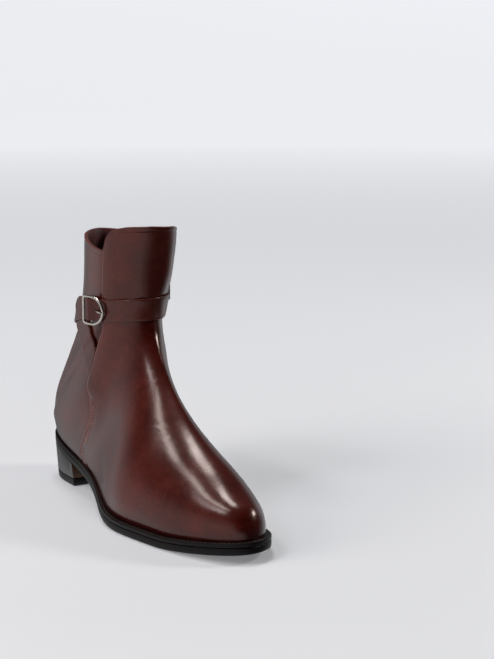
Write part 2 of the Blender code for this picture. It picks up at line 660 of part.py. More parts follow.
def open_back(faces, size, closed):
    """The faces of the wall without the side strips where the shaft rings meet at the back."""
    rows, columns = size
    first_closed = rows - closed
    total = rows * columns
    kept = []
    for face in faces:
        on_side = {i % total % columns for i in face}
        lowest = min(i % total // columns for i in face)
        crosses = any(i < total for i in face) and any(i >= total for i in face)
        if crosses and len(on_side) == 1 and on_side & {0, columns - 1} and lowest >= first_closed:
            continue
        kept.append(face)
    return kept


def lap_piece(last, root, name="lap_step", clear=0.0):
    """Rear part of the vamp, standing on the quarter at the lap and sinking into it further forward.

    With a clearance it is a thick cutter that trims a strap along the same edge.
    """
    share = np.array([0, 0.03, 0.1, 0.2, 0.4, 0.6, 0.8, 0.94, 1.0])[None, :]
    rim = interp_table(TOPLINE, LAP_LINE[-1].angle + LAP_REACH_HIGH * share) - 0.6
    height = LAP_FOOT_Z + (rim - LAP_FOOT_Z) * np.linspace(0, 1, 36)[:, None]
    ahead = lap_angle(height) - math.degrees(clear / 32.0)
    ahead = ahead + np.interp(height, [40, 112], [LAP_REACH_LOW, LAP_REACH_HIGH]) * share
    lifted = np.where(share > 0.99, -LAP_FRONT_STEP - 0.2, LAP_STEP + (LAP_FRONT_STEP - LAP_STEP) * share)
    skin = last.round_at(ahead, height)
    normal = last.round_outward(ahead, height)
    if clear:
        lifted = lifted + 6.0
    outer = skin + normal * lifted[..., None]
    inner = skin - normal * 1.1
    return add_solid(name, *shell(inner, outer), "calf_leather", root)


def zip_strip(last, name, half_width, low, high, top_z, root, foot_z=ZIP_FOOT_Z):
    """Curved bar along the zip line, pointed at its foot, between two heights over the leather."""
    z = np.concatenate([[foot_z, foot_z + ZIP_POINT], np.linspace(57.3, min(top_z, 198), 15)])[:, None]
    share = np.array([-1, -0.5, 0, 0.5, 1.0])[None, :]
    narrow = np.where(z <= foot_z, 0.12, 1.0)
    middle = last.round_at(np.full(z.shape, ZIP_ANGLE), z)
    normal = last.round_outward(np.full(z.shape, ZIP_ANGLE), z)
    across = np.cross([0.0, 0.0, 1.0], normal)
    across = across / np.linalg.norm(across, axis=-1, keepdims=True)
    line = middle + across * (half_width * narrow * share)[..., None]
    return add_solid(name, *shell(line + normal * low, line + normal * high), "zip_tape", root)


def build_zip(last, root):
    """Tape with its closed chain, the slider, and the pull that hangs on it."""
    foot = ZIP_FOOT_Z + 3 * GAP
    tape = zip_strip(last, "zip_tape", ZIP_SLOT / 2 - 1.5 * GAP, TAPE_BACK, TAPE_FACE, 174.5, root, foot)
    chain = zip_strip(last, "zip_chain", CHAIN_WIDTH / 2, TAPE_FACE - 0.6, TAPE_FACE + CHAIN_RISE, 163.0, root, foot + 2)
    boolean(tape, chain, "UNION")

    middle = last.round_at(np.array(ZIP_ANGLE), np.array(SLIDER_Z))
    outward = last.round_outward(np.array(ZIP_ANGLE), np.array(SLIDER_Z))
    up = np.array([0.0, 0.0, 1.0])
    up = up - outward * np.dot(up, outward)
    up = up / np.linalg.norm(up)
    side = np.cross(up, outward)
    frame = np.array([side, up, outward])
    face = TAPE_FACE + GAP + SLIDER_THICK

    def placed(points):
        return middle + np.asarray(points, float) @ frame

    slider = add_solid("zip_slider", *slider_body(placed, face), "dark_nickel", root)
    for number, bar in enumerate(bridge_bars(face)):
        boolean(slider, add_solid(f"bridge_{number}", *block(placed, *bar), "dark_nickel", root), "UNION")

    pin = placed([0, PIN_AT, face + BRIDGE_CLEAR + PIN_RADIUS])
    plumb = np.array([side, [0.0, 0.0, 1.0], np.cross(side, [0.0, 0.0, 1.0])])
    if np.dot(plumb[2], outward) < 0:
        plumb[2] = -plumb[2]

    def hung(points):
        return pin + np.asarray(points, float) @ plumb

    half = PULL_WIDTH / 2
    thick = PULL_THICK / 2
    pull = add_solid("zip_pull", *rod(hung([-half, 0, 0]), hung([half, 0, 0]), PIN_RADIUS, 12), "nickel", root,
                     origin=pin)
    arms = [(-half, -PULL_EYE - 1.0, -thick, -half + PULL_ARM, 0, thick),
            (half - PULL_ARM, -PULL_EYE - 1.0, -thick, half, 0, thick),
            (-half, -PULL_LENGTH, -thick, half, -PULL_EYE, thick)]
    for number, bar in enumerate(arms):
        boolean(pull, add_solid(f"pull_arm_{number}", *block(hung, *bar), "nickel", root), "UNION")


def slider_body(placed, face):
    """Slider plate: a shield that narrows towards its foot."""
    low = TAPE_FACE + GAP
    outline = [(-SLIDER_WIDTH / 2, SLIDER_LENGTH / 2), (SLIDER_WIDTH / 2, SLIDER_LENGTH / 2),
               (SLIDER_WIDTH / 2, 0), (SLIDER_WIDTH / 2 - 1.2, -SLIDER_LENGTH / 2),
               (-SLIDER_WIDTH / 2 + 1.2, -SLIDER_LENGTH / 2), (-SLIDER_WIDTH / 2, 0)]
    count = len(outline)
    points = [(*p, low) for p in outline] + [(*p, face) for p in outline]
    faces = [tuple(range(count)), tuple(range(count, 2 * count))]
    faces += [(i, (i + 1) % count, count + (i + 1) % count, count + i) for i in range(count)]
    return placed(points), faces


def bridge_bars(face):
    """The two posts and the beam that hold the pin of the pull on the slider."""
    half = BRIDGE_WIDTH / 2
    room = PIN_RADIUS + BRIDGE_CLEAR
    top = face + 2 * room
    near = PIN_AT + room
    far = PIN_AT - room
    return [(-half, near, face - 0.5, half, near + BRIDGE_POST, top + BRIDGE_THICK),
            (-half, far - BRIDGE_POST, face - 0.5, half, far, top + BRIDGE_THICK),
            (-half, far - BRIDGE_POST, top, half, near + BRIDGE_POST, top + BRIDGE_THICK)]


def block(placed, x0, y0, z0, x1, y1, z1):
    """Box between two corners in the zip's own directions."""
    corners = [(x, y, z) for z in (z0, z1) for x, y in ((x0, y0), (x1, y0), (x1, y1), (x0, y1))]
    faces = [(0, 1, 2, 3), (4, 5, 6, 7)]
    faces += [(i, (i + 1) % 4, 4 + (i + 1) % 4, 4 + i) for i in range(4)]
    return placed(corners), faces


def rod(start, end, radius, sides):
    """Round bar between two points."""
    axis = (end - start) / np.linalg.norm(end - start)
    first = np.cross(axis, [0.3, 0.5, 0.8])
    first = first / np.linalg.norm(first)
    second = np.cross(axis, first)
    turn = np.linspace(0, 2 * math.pi, sides, endpoint=False)
    ring = radius * (np.cos(turn)[:, None] * first + np.sin(turn)[:, None] * second)
    points = np.concatenate([start + ring, end + ring])
    faces = grid_faces(2, sides, 0, wrap=True) + [tuple(range(sides)), tuple(range(sides, 2 * sides))]
    return points, faces


def strap(last, name, route, root, stations, pointed=False):
    """Flat leather strip that follows its route on the boot."""
    turned = np.cumsum([0] + [abs(b.angle - a.angle) for a, b in zip(route, route[1:])])
    curve = natural_spline(turned, [(p.angle, p.z, p.lift) for p in route])
    rows = curve(np.linspace(0, turned[-1], stations))
    middle = last.round_at(rows[:, 0], rows[:, 1])
    normal = last.round_outward(rows[:, 0], rows[:, 1])
    ahead = np.gradient(middle, axis=0)
    ahead = ahead / np.linalg.norm(ahead, axis=1)[:, None]
    across = np.cross(normal, ahead)
    across = across / np.linalg.norm(across, axis=1)[:, None]
    half = np.full(stations, STRAP_WIDTH / 2)
    if pointed:
        half[-3:] = STRAP_WIDTH / 2 * np.array([0.98, 0.72, 0.2])
    share = np.array([-1, -0.5, 0, 0.5, 1.0])
    line = middle[:, None] + across[:, None] * (half[:, None] * share)[..., None]
    angle = np.degrees(np.arctan2(line[..., 0] - AXIS_X, line[..., 1] - AXIS_S))
    skin = last.round_at(angle, line[..., 2])
    face = last.round_outward(angle, line[..., 2])
    lift = STRAP_SEAT + np.maximum(rows[:, 2], 0)[:, None, None]
    return add_solid(name, *shell(skin + face * lift, skin + face * (lift + STRAP_THICK)), "strap_leather", root)


def build_straps(last, root):
    """The ankle strap with its buckle, the rear strap and the strap that carries the buckle."""
    front = strap(last, "ankle_strap", ANKLE_STRAP, root, 46, pointed=True)
    rear = strap(last, "rear_strap", REAR_STRAP, root, 34)
    boolean(rear, lap_piece(last, root, "rear_strap_trim", GAP), "DIFFERENCE")
    carrier = strap(last, "buckle_strap", BUCKLE_STRAP, root, 40)
    for piece in (front, rear, carrier):
        trim = zip_strip(last, f"{piece.name}_zip_trim", ZIP_SLOT / 2 + STRAP_STOP, -3.0, 9.0, 202.0, root)
        boolean(piece, trim, "DIFFERENCE")

    middle = last.round_at(np.array(BUCKLE_ANGLE), np.array(BUCKLE_Z))
    outward = last.round_outward(np.array(BUCKLE_ANGLE), np.array(BUCKLE_Z))
    up = np.array([0.0, 0.0, 1.0])
    back = np.cross(up, outward)
    back = back / np.linalg.norm(back)
    tilt = math.radians(BUCKLE_TILT)
    back, outward = (back * math.cos(tilt) + outward * math.sin(tilt),
                     outward * math.cos(tilt) - back * math.sin(tilt))
    frame = np.array([back, np.cross(outward, back), outward])
    middle = middle + outward * BUCKLE_LIFT

    def placed(points):
        return middle + np.asarray(points, float) @ frame

    buckle = add_solid("buckle_frame", *wire_loop(placed(buckle_path()), BUCKLE_WIRE / 2, 8), "nickel", root)
    reach = BUCKLE_HALF_HEIGHT
    bar = rod(placed([BAR_AT, -reach, -BAR_DROP]), placed([BAR_AT, reach, -BAR_DROP]), BAR_WIRE / 2, 8)
    boolean(buckle, add_solid("buckle_bar", *bar, "nickel", root), "UNION")
    add_solid("buckle_prong", *rod(placed(PRONG_ROOT), placed(PRONG_TIP), PRONG_WIRE / 2, 8), "nickel", root)
    hole = add_solid("prong_hole", *block(placed, *PRONG_HOLE), "strap_leather", root)
    boolean(front, hole, "DIFFERENCE")


def buckle_path():
    """Middle line of the D-shaped frame: straight at the rear, round at the front."""
    half_l, half_h, corner = BUCKLE_HALF_LENGTH, BUCKLE_HALF_HEIGHT, BUCKLE_CORNER
    start = half_l - 2 * half_l * BUCKLE_STRAIGHT
    points = []
    for turn in np.radians([0, 30, 60, 90]):
        points.append((half_l - corner + corner * math.cos(turn), half_h - corner + corner * math.sin(turn)))
    for turn in np.radians(np.linspace(90, 270, 17)):
        points.append((start + (half_l + start) * math.cos(turn), half_h * math.sin(turn)))
    for turn in np.radians([270, 300, 330, 360]):
        points.append((half_l - corner + corner * math.cos(turn), -half_h + corner + corner * math.sin(turn)))
    return np.array([(x, y, 0.0) for x, y in points])


def wire_loop(path, radius, sides):
    """Closed round wire along a flat loop."""
    ahead = np.roll(path, -1, axis=0) - np.roll(path, 1, axis=0)
    ahead = ahead / np.linalg.norm(ahead, axis=1)[:, None]
    flat = np.cross(path[1] - path[0], path[len(path) // 2] - path[0])
    flat = flat / np.linalg.norm(flat)
    side = np.cross(ahead, flat)
    turn = np.linspace(0, 2 * math.pi, sides, endpoint=False)
    ring = side[:, None] * np.cos(turn)[None, :, None] + flat * np.sin(turn)[None, :, None]
    points = path[:, None] + radius * ring
    count = len(path)
    faces = grid_faces(count, sides, 0, wrap=True)
    faces += [((count - 1) * sides + j, (count - 1) * sides + (j + 1) % sides, (j + 1) % sides, j)
              for j in range(sides)]
    return points.reshape(-1, 3), faces


def stand_on_middle(root):
    """Moves the boot so that the middle of its base is at the origin."""
    bpy.context.view_layer.update()
    graph = bpy.context.evaluated_depsgraph_get()
    corners = []
    for obj in bpy.data.objects:
        if obj.type == "MESH" and not obj.hide_render:
            corners += [obj.location + Vector(corner) for corner in obj.evaluated_get(graph).bound_box]
    low = [min(corner[i] for corner in corners) for i in range(3)]
    high = [max(corner[i] for corner in corners) for i in range(3)]
    root.location = (-(low[0] + high[0]) / 2, -(low[1] + high[1]) / 2, -low[2])


def main():
    for obj in list(bpy.data.objects):
        bpy.data.objects.remove(obj, do_unlink=True)
    sole = SoleShape()
    last = LastShape(sole)
    root = bpy.data.objects.new("boot", None)
    bpy.context.collection.objects.link(root)
    build_sole(sole, root)
    build_upper(last, root)
    build_straps(last, root)
    build_zip(last, root)
    stand_on_middle(root)


if __name__ == "__main__":
    main()
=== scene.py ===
"""Right ankle boot in polished calf, with a buckled wrap strap and a medial zip, dressed over its frame.

Lengths are millimetres until a mesh is made. A point of the boot is (x, s, z): x runs from the lateral to
the medial side, s runs forward from the back of the heel, and z runs up from the floor.
"""

import logging
import math
from dataclasses import dataclass
from enum import Enum
from typing import Callable, NamedTuple, Optional, Sequence, Union

import bmesh
import bpy
import numpy as np
from mathutils import Matrix, Vector


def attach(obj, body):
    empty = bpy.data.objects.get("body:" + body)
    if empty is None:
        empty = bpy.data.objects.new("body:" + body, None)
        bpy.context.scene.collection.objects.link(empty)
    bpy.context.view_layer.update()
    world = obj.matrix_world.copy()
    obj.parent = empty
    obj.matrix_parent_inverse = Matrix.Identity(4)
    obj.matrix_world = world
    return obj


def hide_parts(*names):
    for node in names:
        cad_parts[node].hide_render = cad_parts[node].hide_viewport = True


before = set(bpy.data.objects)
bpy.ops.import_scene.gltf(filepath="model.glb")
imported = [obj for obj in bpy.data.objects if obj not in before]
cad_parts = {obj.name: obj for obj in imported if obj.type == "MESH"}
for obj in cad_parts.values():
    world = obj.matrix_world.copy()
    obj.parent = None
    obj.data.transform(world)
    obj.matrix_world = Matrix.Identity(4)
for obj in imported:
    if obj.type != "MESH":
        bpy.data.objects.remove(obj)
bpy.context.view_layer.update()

LOG = logging.getLogger("ankle_boot")
MM = 0.001
ORIGIN_X = 1.2527
ORIGIN_S = 130.73
# Upright axis that angles round the boot are measured about
AXIS_X = 5.0
AXIS_S = 70.0
GAP = 0.3
WALL = 2.2
UNDER_WALL = 0.6
MERGE = 0.004
ZIP_ANGLE = 86.0
ZIP_TAPER = 6.0
UP = (0.0, 0.0, 1.0)

Array = np.ndarray
Curve = Callable[[Array], Array]
Socket = bpy.types.NodeSocket
Colour = Union[str, Socket]


class Body(Enum):
    """Bodies of the frame that a piece can ride on."""

    BOOT = "boot"
    PULL = "pull"


class Side(Enum):
    """The two sides of the boot, as the sign of tau on the last."""

    LATERAL = -1
    MEDIAL = 1


class OutlinePoint(NamedTuple):
    """A point of the sole outline seen from above."""

    s: float
    x: float


class Level(NamedTuple):
    """A height along the sole."""

    s: float
    z: float


class FootSection(NamedTuple):
    """A section of the foot, from the crest down to the feather line."""

    front_s: float
    front_z: float
    foot_s: float
    bulge_lat: float
    bulge_med: float
    wide_at: float
    square: float
    crest_x: float


class HeelSection(NamedTuple):
    """A section whose foot runs round the heel seat."""

    front_s: float
    front_z: float
    turn: float
    lateral: float
    medial: float
    wide_at: float
    square: float
    crest_x: float
    back_square: float


class Section(NamedTuple):
    """A section of the last with both of its ends, such as a closed ring of the shaft."""

    front_s: float
    front_z: float
    back_s: float
    back_z: float
    lateral: float
    medial: float
    wide_at: float
    square: float
    crest_x: float
    back_x: float
    back_square: float


class StrapPoint(NamedTuple):
    """A point of a strap's route: angle round the boot, height, and lift over the leather."""

    angle: float
    z: float
    lift: float


class Crease(NamedTuple):
    """A soft trough, or with a negative depth a ridge, along a line through points on the leather."""

    points: tuple
    depth: float
    width: float


class StitchSize(NamedTuple):
    """Distance from stitch to stitch, length of one stitch and half its thickness."""

    pitch: float
    length: float
    radius: float


class SoftBox(NamedTuple):
    """A soft box: its direction from the boot, distance, size in metres, brightness and setting."""

    name: str
    direction: tuple
    distance: float
    size: tuple
    radiance: float
    colour: str = "#ffffff"
    along: tuple = (0.0, 1.0, 0.0)
    mirrored: bool = True


def table(kind: Callable, *rows: tuple) -> tuple:
    """Rows of plain numbers as a table with named columns."""
    return tuple(kind(*row) for row in rows)


SOLE_OUTLINE = table(
    OutlinePoint, (0, 0), (7, -19), (27, -28.3), (55, -28), (88, -29.8), (119, -38), (150, -45), (180, -41),
    (210, -33), (238, -20.3), (261.5, 4), (252.5, 22.2), (228, 32.2), (192, 35.8), (160, 32), (122, 23),
    (90, 23), (60, 27), (27, 28), (7, 19))
UNDERSIDE = table(
    Level, (0, 28.3), (25, 24.6), (50, 18.2), (75, 12.5), (100, 7.6), (125, 3.5), (145, 1.2), (165, 0),
    (185, 0), (205, 0), (222, 1.2), (240, 3.2), (262, 6.3))
WELT_REVEAL = table(Level, (0, 1.2), (60, 1.6), (110, 2.4), (150, 3.8), (262, 4.0))
FOOT_SECTIONS = table(
    FootSection,
    (229, 43.5, 228, 0.8, 0.3, 0.17, 1.98, 7.2),
    (214, 51.5, 213, 1.3, 0.5, 0.18, 1.80, 6.2),
    (200, 58.0, 197, 1.6, 0.5, 0.20, 1.68, 5.2),
    (187, 65.0, 180, 1.6, 0.5, 0.20, 1.62, 4.3),
    (175, 72.5, 161, 1.4, 0.7, 0.20, 1.62, 3.6),
    (163, 81.5, 141, 1.0, 1.2, 0.20, 1.66, 3.0),
    (151.5, 91.0, 119, 1.0, 2.2, 0.21, 1.72, 2.7),
    (141.5, 100.5, 97, 1.2, 2.2, 0.22, 1.80, 2.7),
    (133, 110.0, 75, 1.5, 1.6, 0.23, 1.88, 2.9),
    (126.5, 119.0, 53, 1.5, 1.6, 0.24, 1.96, 3.3))
HEEL_SECTIONS = table(
    HeelSection,
    (122.8, 127.0, 90, -29.6, 29.6, 0.23, 2.02, 3.8, 2.3),
    (120.8, 133.0, 68, -29.4, 29.8, 0.22, 2.06, 4.3, 2.4),
    (119.7, 138.0, 46, -28.9, 30.0, 0.22, 2.12, 4.8, 2.45),
    (119.2, 142.0, 24, -28.1, 30.2, 0.22, 2.18, 5.3, 2.5),
    (119.0, 145.5, 0, -27.1, 30.4, 0.23, 2.24, 5.7, 2.5))
SHAFT_SECTIONS = table(
    Section,
    (119.0, 148.5, 0.2, 46, -25.9, 30.3, 0.25, 2.38, 6.1, 0.0, 2.4),
    (119.0, 151.5, 1.3, 57, -24.1, 30.1, 0.28, 2.50, 6.6, 0.3, 2.15),
    (119.1, 155.0, 5.6, 69, -22.5, 30.1, 0.32, 2.62, 7.1, 0.9, 1.9),
    (119.2, 159.0, 11.6, 82, -21.5, 30.6, 0.37, 2.66, 7.5, 1.8, 1.74),
    (119.4, 163.0, 17.6, 95, -20.9, 31.5, 0.42, 2.62, 7.9, 2.9, 1.68),
    (119.6, 167.5, 22.0, 108, -20.5, 32.6, 0.45, 2.54, 8.2, 4.1, 1.68),
    (119.9, 172.5, 24.2, 122, -20.1, 33.8, 0.47, 2.44, 8.4, 5.3, 1.70),
    (120.3, 178.0, 26.0, 137, -19.7, 35.0, 0.49, 2.34, 8.5, 6.4, 1.73),
    (120.8, 184.0, 26.9, 153, -19.3, 36.2, 0.50, 2.26, 8.7, 7.4, 1.77),
    (121.3, 191.0, 27.3, 169, -19.0, 37.2, 0.50, 2.20, 8.8, 8.2, 1.80),
    (121.8, 202.0, 27.7, 190, -18.6, 38.0, 0.50, 2.20, 8.9, 8.8, 1.80))
# Top edge of the leather, as (angle, z): the lap notch and the zip dip are its two low points
TOPLINE = (
    (-180, 183.0), (-140, 182.0), (-100, 179.0), (-60, 176.5), (-45.0, 176.0), (-43.3, 179.5), (-40.8, 185.5),
    (-36.3, 190.0), (-29.5, 192.7), (-18, 194.6), (0, 195.0), (25, 193.0), (50, 188.0), (75, 179.0),
    (86, 176.0), (100, 176.5), (140, 181.0), (180, 183.0))
# Rear edge of the vamp, from the feather line to the top
LAP_PATH = table(
    Level, (70.5, 14), (69, 22), (66.5, 30), (72.5, 40), (80.5, 50), (86, 59), (86.2, 67), (84.8, 74),
    (83.2, 81), (86.0, 93), (88.6, 103), (90.6, 113), (92.6, 122), (92.6, 135), (92.2, 148), (92.5, 164),
    (92.8, 178), (93.0, 200))
# Rise of the vamp's rear edge over the quarter, as (z, rise), and its rounding, as (distance, share)
LAP_RISE = (
    (20, 0.6), (34, 1.0), (45, 1.1), (66, 1.15), (74, 1.3), (80, 2.2), (88, 2.1), (120, 1.9), (180, 1.7))
LAP_EDGE = ((-0.15, 0.0), (0.0, 0.5), (0.12, 0.8), (0.3, 0.95), (0.6, 1.0))
# How pale that edge is, as (z, share)
LAP_PALE = ((30, 0.5), (66, 0.7), (76, 1.0), (150, 0.8), (176, 0.5))
ANKLE_STRAP = table(
    StrapPoint, (86, 131.6, 0.1), (74, 133.0, 0.1), (55, 135.6, 0.1), (30, 138.0, 0.1), (12, 138.8, 0.2),
    (0, 138.7, 0.6), (-10, 138.3, 0.85), (-20, 137.6, 1.0), (-30, 136.8, 1.2), (-38, 136.0, 1.4),
    (-47, 135.4, 1.65), (-53, 135.2, 2.8), (-61, 135.1, 6.0), (-67, 135.1, 5.0), (-74, 135.0, 3.7),
    (-90, 134.3, 3.7), (-112, 133.4, 3.9))
REAR_STRAP = table(
    StrapPoint, (86, 129.6, 0.1), (105, 128.6, 0.1), (125, 127.8, 0.1), (150, 127.0, 0.1), (168, 126.7, 0.2),
    (180, 126.6, 0.4), (192, 126.5, 0.2), (225, 126.4, 0.1), (244, 124.0, 0.1), (260, 119.5, 0.1),
    (275, 113.4, 0.1), (289, 105.4, 0.1), (299, 97.5, 0.1), (308, 89.0, 0.1))
BUCKLE_STRAP = table(
    StrapPoint, (87, 78.2, 0.5), (95, 81.6, 0.5), (110, 88.0, 0.5), (130, 96.5, 0.5), (145, 102.5, 0.5),
    (155, 106.4, 1.3), (163, 109.5, 2.0), (180, 116.0, 2.6), (200, 122.0, 2.1), (222, 127.0, 2.0),
    (245, 131.0, 2.0), (262, 133.2, 2.0), (276, 134.3, 1.6), (287, 134.9, 1.0), (295, 135.1, 0.8))
# Soft folds, each along points (x, s, z) of the leather
CREASES = table(
    Crease,
    (((-28.0, 85.5, 74.0), (-28.5, 93.0, 71.5)), 0.8, 1.5),
    (((-13.0, 203.0, 50.0), (-7.0, 209.0, 51.0), (0.0, 212.0, 51.0), (8.0, 208.0, 50.0)), -0.25, 13.0),
    (((-5.0, 233.0, 40.0), (-1.0, 235.0, 40.0), (5.0, 236.0, 39.0), (10.0, 234.0, 37.0)), 0.4, 12.0))
# Patches of fine wrinkles, as middle, reach and strength
WRINKLES = (
    ((-6.0, 143.0, 96.0), 9.0, 0.7), ((-14.0, 171.0, 67.0), 9.0, 0.7), ((24.0, 112.0, 112.0), 14.0, 0.7),
    ((30.0, 92.0, 105.0), 12.0, 0.5))
FINE_STITCH = StitchSize(2.3, 1.75, 0.27)
WELT_STITCH = StitchSize(3.3, 2.5, 0.38)
SOFT_BOXES = (
    SoftBox("toe_box", (-0.66, -0.03, 0.75), 1.7, (0.34, 0.28), 9.5, "#f6f8ff"),
    SoftBox("overhead_left_box", (-0.45, 0.12, 0.88), 1.7, (0.2, 0.6), 11.0),
    SoftBox("overhead_box", (0.04, 0.2, 0.98), 1.7, (0.36, 0.46), 15.0),
    SoftBox("right_spot_box", (0.82, -0.3, 0.48), 1.4, (0.26, 0.26), 26.0, "#fffaf4", UP),
    SoftBox("side_fill", (-0.93, 0.08, 0.36), 1.6, (1.0, 1.0), 3.4, "#fff4ec", UP, False))


def natural_spline(knots: Sequence[float], values: Sequence) -> Curve:
    """Smooth function through given values, with no bend at its two ends.

    Args:
        knots: Rising places of the values.
        values: One value, or one row of values, for each knot.

    Returns:
        A function of an array of places.
    """
    knots = np.asarray(knots, float)
    values = np.asarray(values, float)
    columns = values.reshape(len(knots), -1)
    count = len(knots)
    step = np.diff(knots)
    slope = np.diff(columns, axis=0) / step[:, None]
    matrix = np.eye(count)
    right = np.zeros(columns.shape)
    for i in range(1, count - 1):
        matrix[i, i - 1 : i + 2] = [step[i - 1], 2 * (step[i - 1] + step[i]), step[i]]
        right[i] = 6 * (slope[i] - slope[i - 1])
    bend = np.linalg.solve(matrix, right)

    def curve(at: Array) -> Array:
        """Value of the spline at each place."""
        at = np.asarray(at, float)
        flat = np.clip(at.reshape(-1), knots[0], knots[-1])
        k = np.clip(np.searchsorted(knots, flat) - 1, 0, count - 2)
        before = (knots[k + 1] - flat)[:, None]
        after = (flat - knots[k])[:, None]
        width = step[k][:, None]
        cubic = (bend[k] * before**3 + bend[k + 1] * after**3) / (6 * width)
        line = (columns[k] / width - bend[k] * width / 6) * before
        line = line + (columns[k + 1] / width - bend[k + 1] * width / 6) * after
        return (cubic + line).reshape(at.shape + values.shape[1:])

    return curve


def arc_length(path: Array) -> Array:
    """Length along a path up to each of its points."""
    return np.concatenate([[0], np.cumsum(np.linalg.norm(np.diff(path, axis=0), axis=1))])


def closed_loop(points: Sequence, count: int) -> Array:
    """Evenly spaced points on a smooth closed curve through the given ones."""
    points = np.asarray(points, float)
    over = 3
    wrapped = np.concatenate([points[-over:], points, points[: over + 1]])
    along = arc_length(wrapped)
    curve = natural_spline(along, wrapped)
    return curve(np.linspace(along[over], along[over + len(points)], count, endpoint=False))


def inset(loop: Array, distance: Array) -> Array:
    """The loop moved inwards by a distance, which may differ from point to point."""
    ahead = unit(np.roll(loop, -1, axis=0) - np.roll(loop, 1, axis=0))
    side = np.stack([-ahead[:, 1], ahead[:, 0]], axis=1)
    if np.mean(np.sum(side * (loop.mean(axis=0) - loop), axis=1)) < 0:
        side = -side
    return loop + side * np.reshape(distance, (-1, 1))


def two_sides(loop: Array) -> tuple:
    """Lateral and medial x of a sole-shaped loop as functions of s, with the range of s."""
    turned = np.roll(loop, -np.argmin(loop[:, 0]), axis=0)
    toe = np.argmax(turned[:, 0])
    lateral = turned[: toe + 1]
    medial = np.concatenate([turned[toe:], turned[:1]])[::-1]

    def lateral_x(s: Array) -> Array:
        """Lateral x at s."""
        return table_value(lateral, s)

    def medial_x(s: Array) -> Array:
        """Medial x at s."""
        return table_value(medial, s)

    return lateral_x, medial_x, turned[0, 0], turned[toe, 0]


def table_value(rows: Sequence, at: Array) -> Array:
    """Straight-line value of a two-column table."""
    columns = np.asarray(rows, float)
    return np.interp(at, columns[:, 0], columns[:, 1])


def ease(low: float, high: float, at: Array) -> Array:
    """Smooth step from 0 at low to 1 at high."""
    share = np.clip((np.asarray(at, float) - low) / (high - low), 0, 1)
    return share * share * (3 - 2 * share)


def bell(at: Array, width: float) -> Array:
    """Smooth bump of height one that fades on both sides of 0."""
    return np.exp(-((at / width) ** 2))


def unit(vectors: Array) -> Array:
    """The vectors at length one."""
    return vectors / np.maximum(np.linalg.norm(vectors, axis=-1, keepdims=True), 1e-9)


def polar(points: Array) -> tuple:
    """Angle of points about the upright axis, in degrees from the front, and distance from it."""
    x = points[..., 0] - AXIS_X
    s = points[..., 1] - AXIS_S
    return np.degrees(np.arctan2(x, s)), np.hypot(x, s)


def to_world(points: Array) -> Array:
    """Boot points in millimetres as metres in the frame."""
    points = np.asarray(points, float)
    return np.stack([points[..., 0] + ORIGIN_X, ORIGIN_S - points[..., 1], points[..., 2]], axis=-1) * MM


@dataclass
class SoleForm:
    """Outline and levels of the sole, which the upper and the heel stand on."""

    outsole_thick: float = 5.0
    welt_front: float = 2.8
    welt_heel: float = 1.8
    heel_length: float = 51.5

    def __post_init__(self) -> None:
        """Works out the outline, the feather line and the underside."""
        self.outline = closed_loop(SOLE_OUTLINE, 720)
        self.feather = inset(self.outline, table_value(WELT_REVEAL, self.outline[:, 0]))
        self.lateral, self.medial, self.heel_s, self.toe_s = two_sides(self.feather)
        self.underside_curve = natural_spline([p.s for p in UNDERSIDE], [p.z for p in UNDERSIDE])

    def underside(self, s: Array) -> Array:
        """Height of the underside of the outsole."""
        return np.maximum(self.underside_curve(s), 0.0)

    def heel_seat(self, s: Array) -> Array:
        """Height of the upper face of the heel."""
        return self.underside(s) - GAP

    def outsole_top(self, s: Array) -> Array:
        """Height of the upper face of the outsole."""
        return self.underside(s) + self.outsole_thick

    def welt_low(self, s: Array) -> Array:
        """Height of the lower face of the welt and of the insole."""
        return self.outsole_top(s) + GAP

    def welt_top(self, s: Array) -> Array:
        """Height of the upper face of the welt."""
        thick = np.interp(s, [self.heel_length, 2 * self.heel_length], [self.welt_heel, self.welt_front])
        return self.welt_low(s) + thick

    def feather_z(self, s: Array) -> Array:
        """Height where the upper meets the welt."""
        return self.welt_top(s) + GAP

    def middle_x(self, s: Array) -> Array:
        """Middle between the two sides of the feather line."""
        return (self.lateral(s) + self.medial(s)) / 2


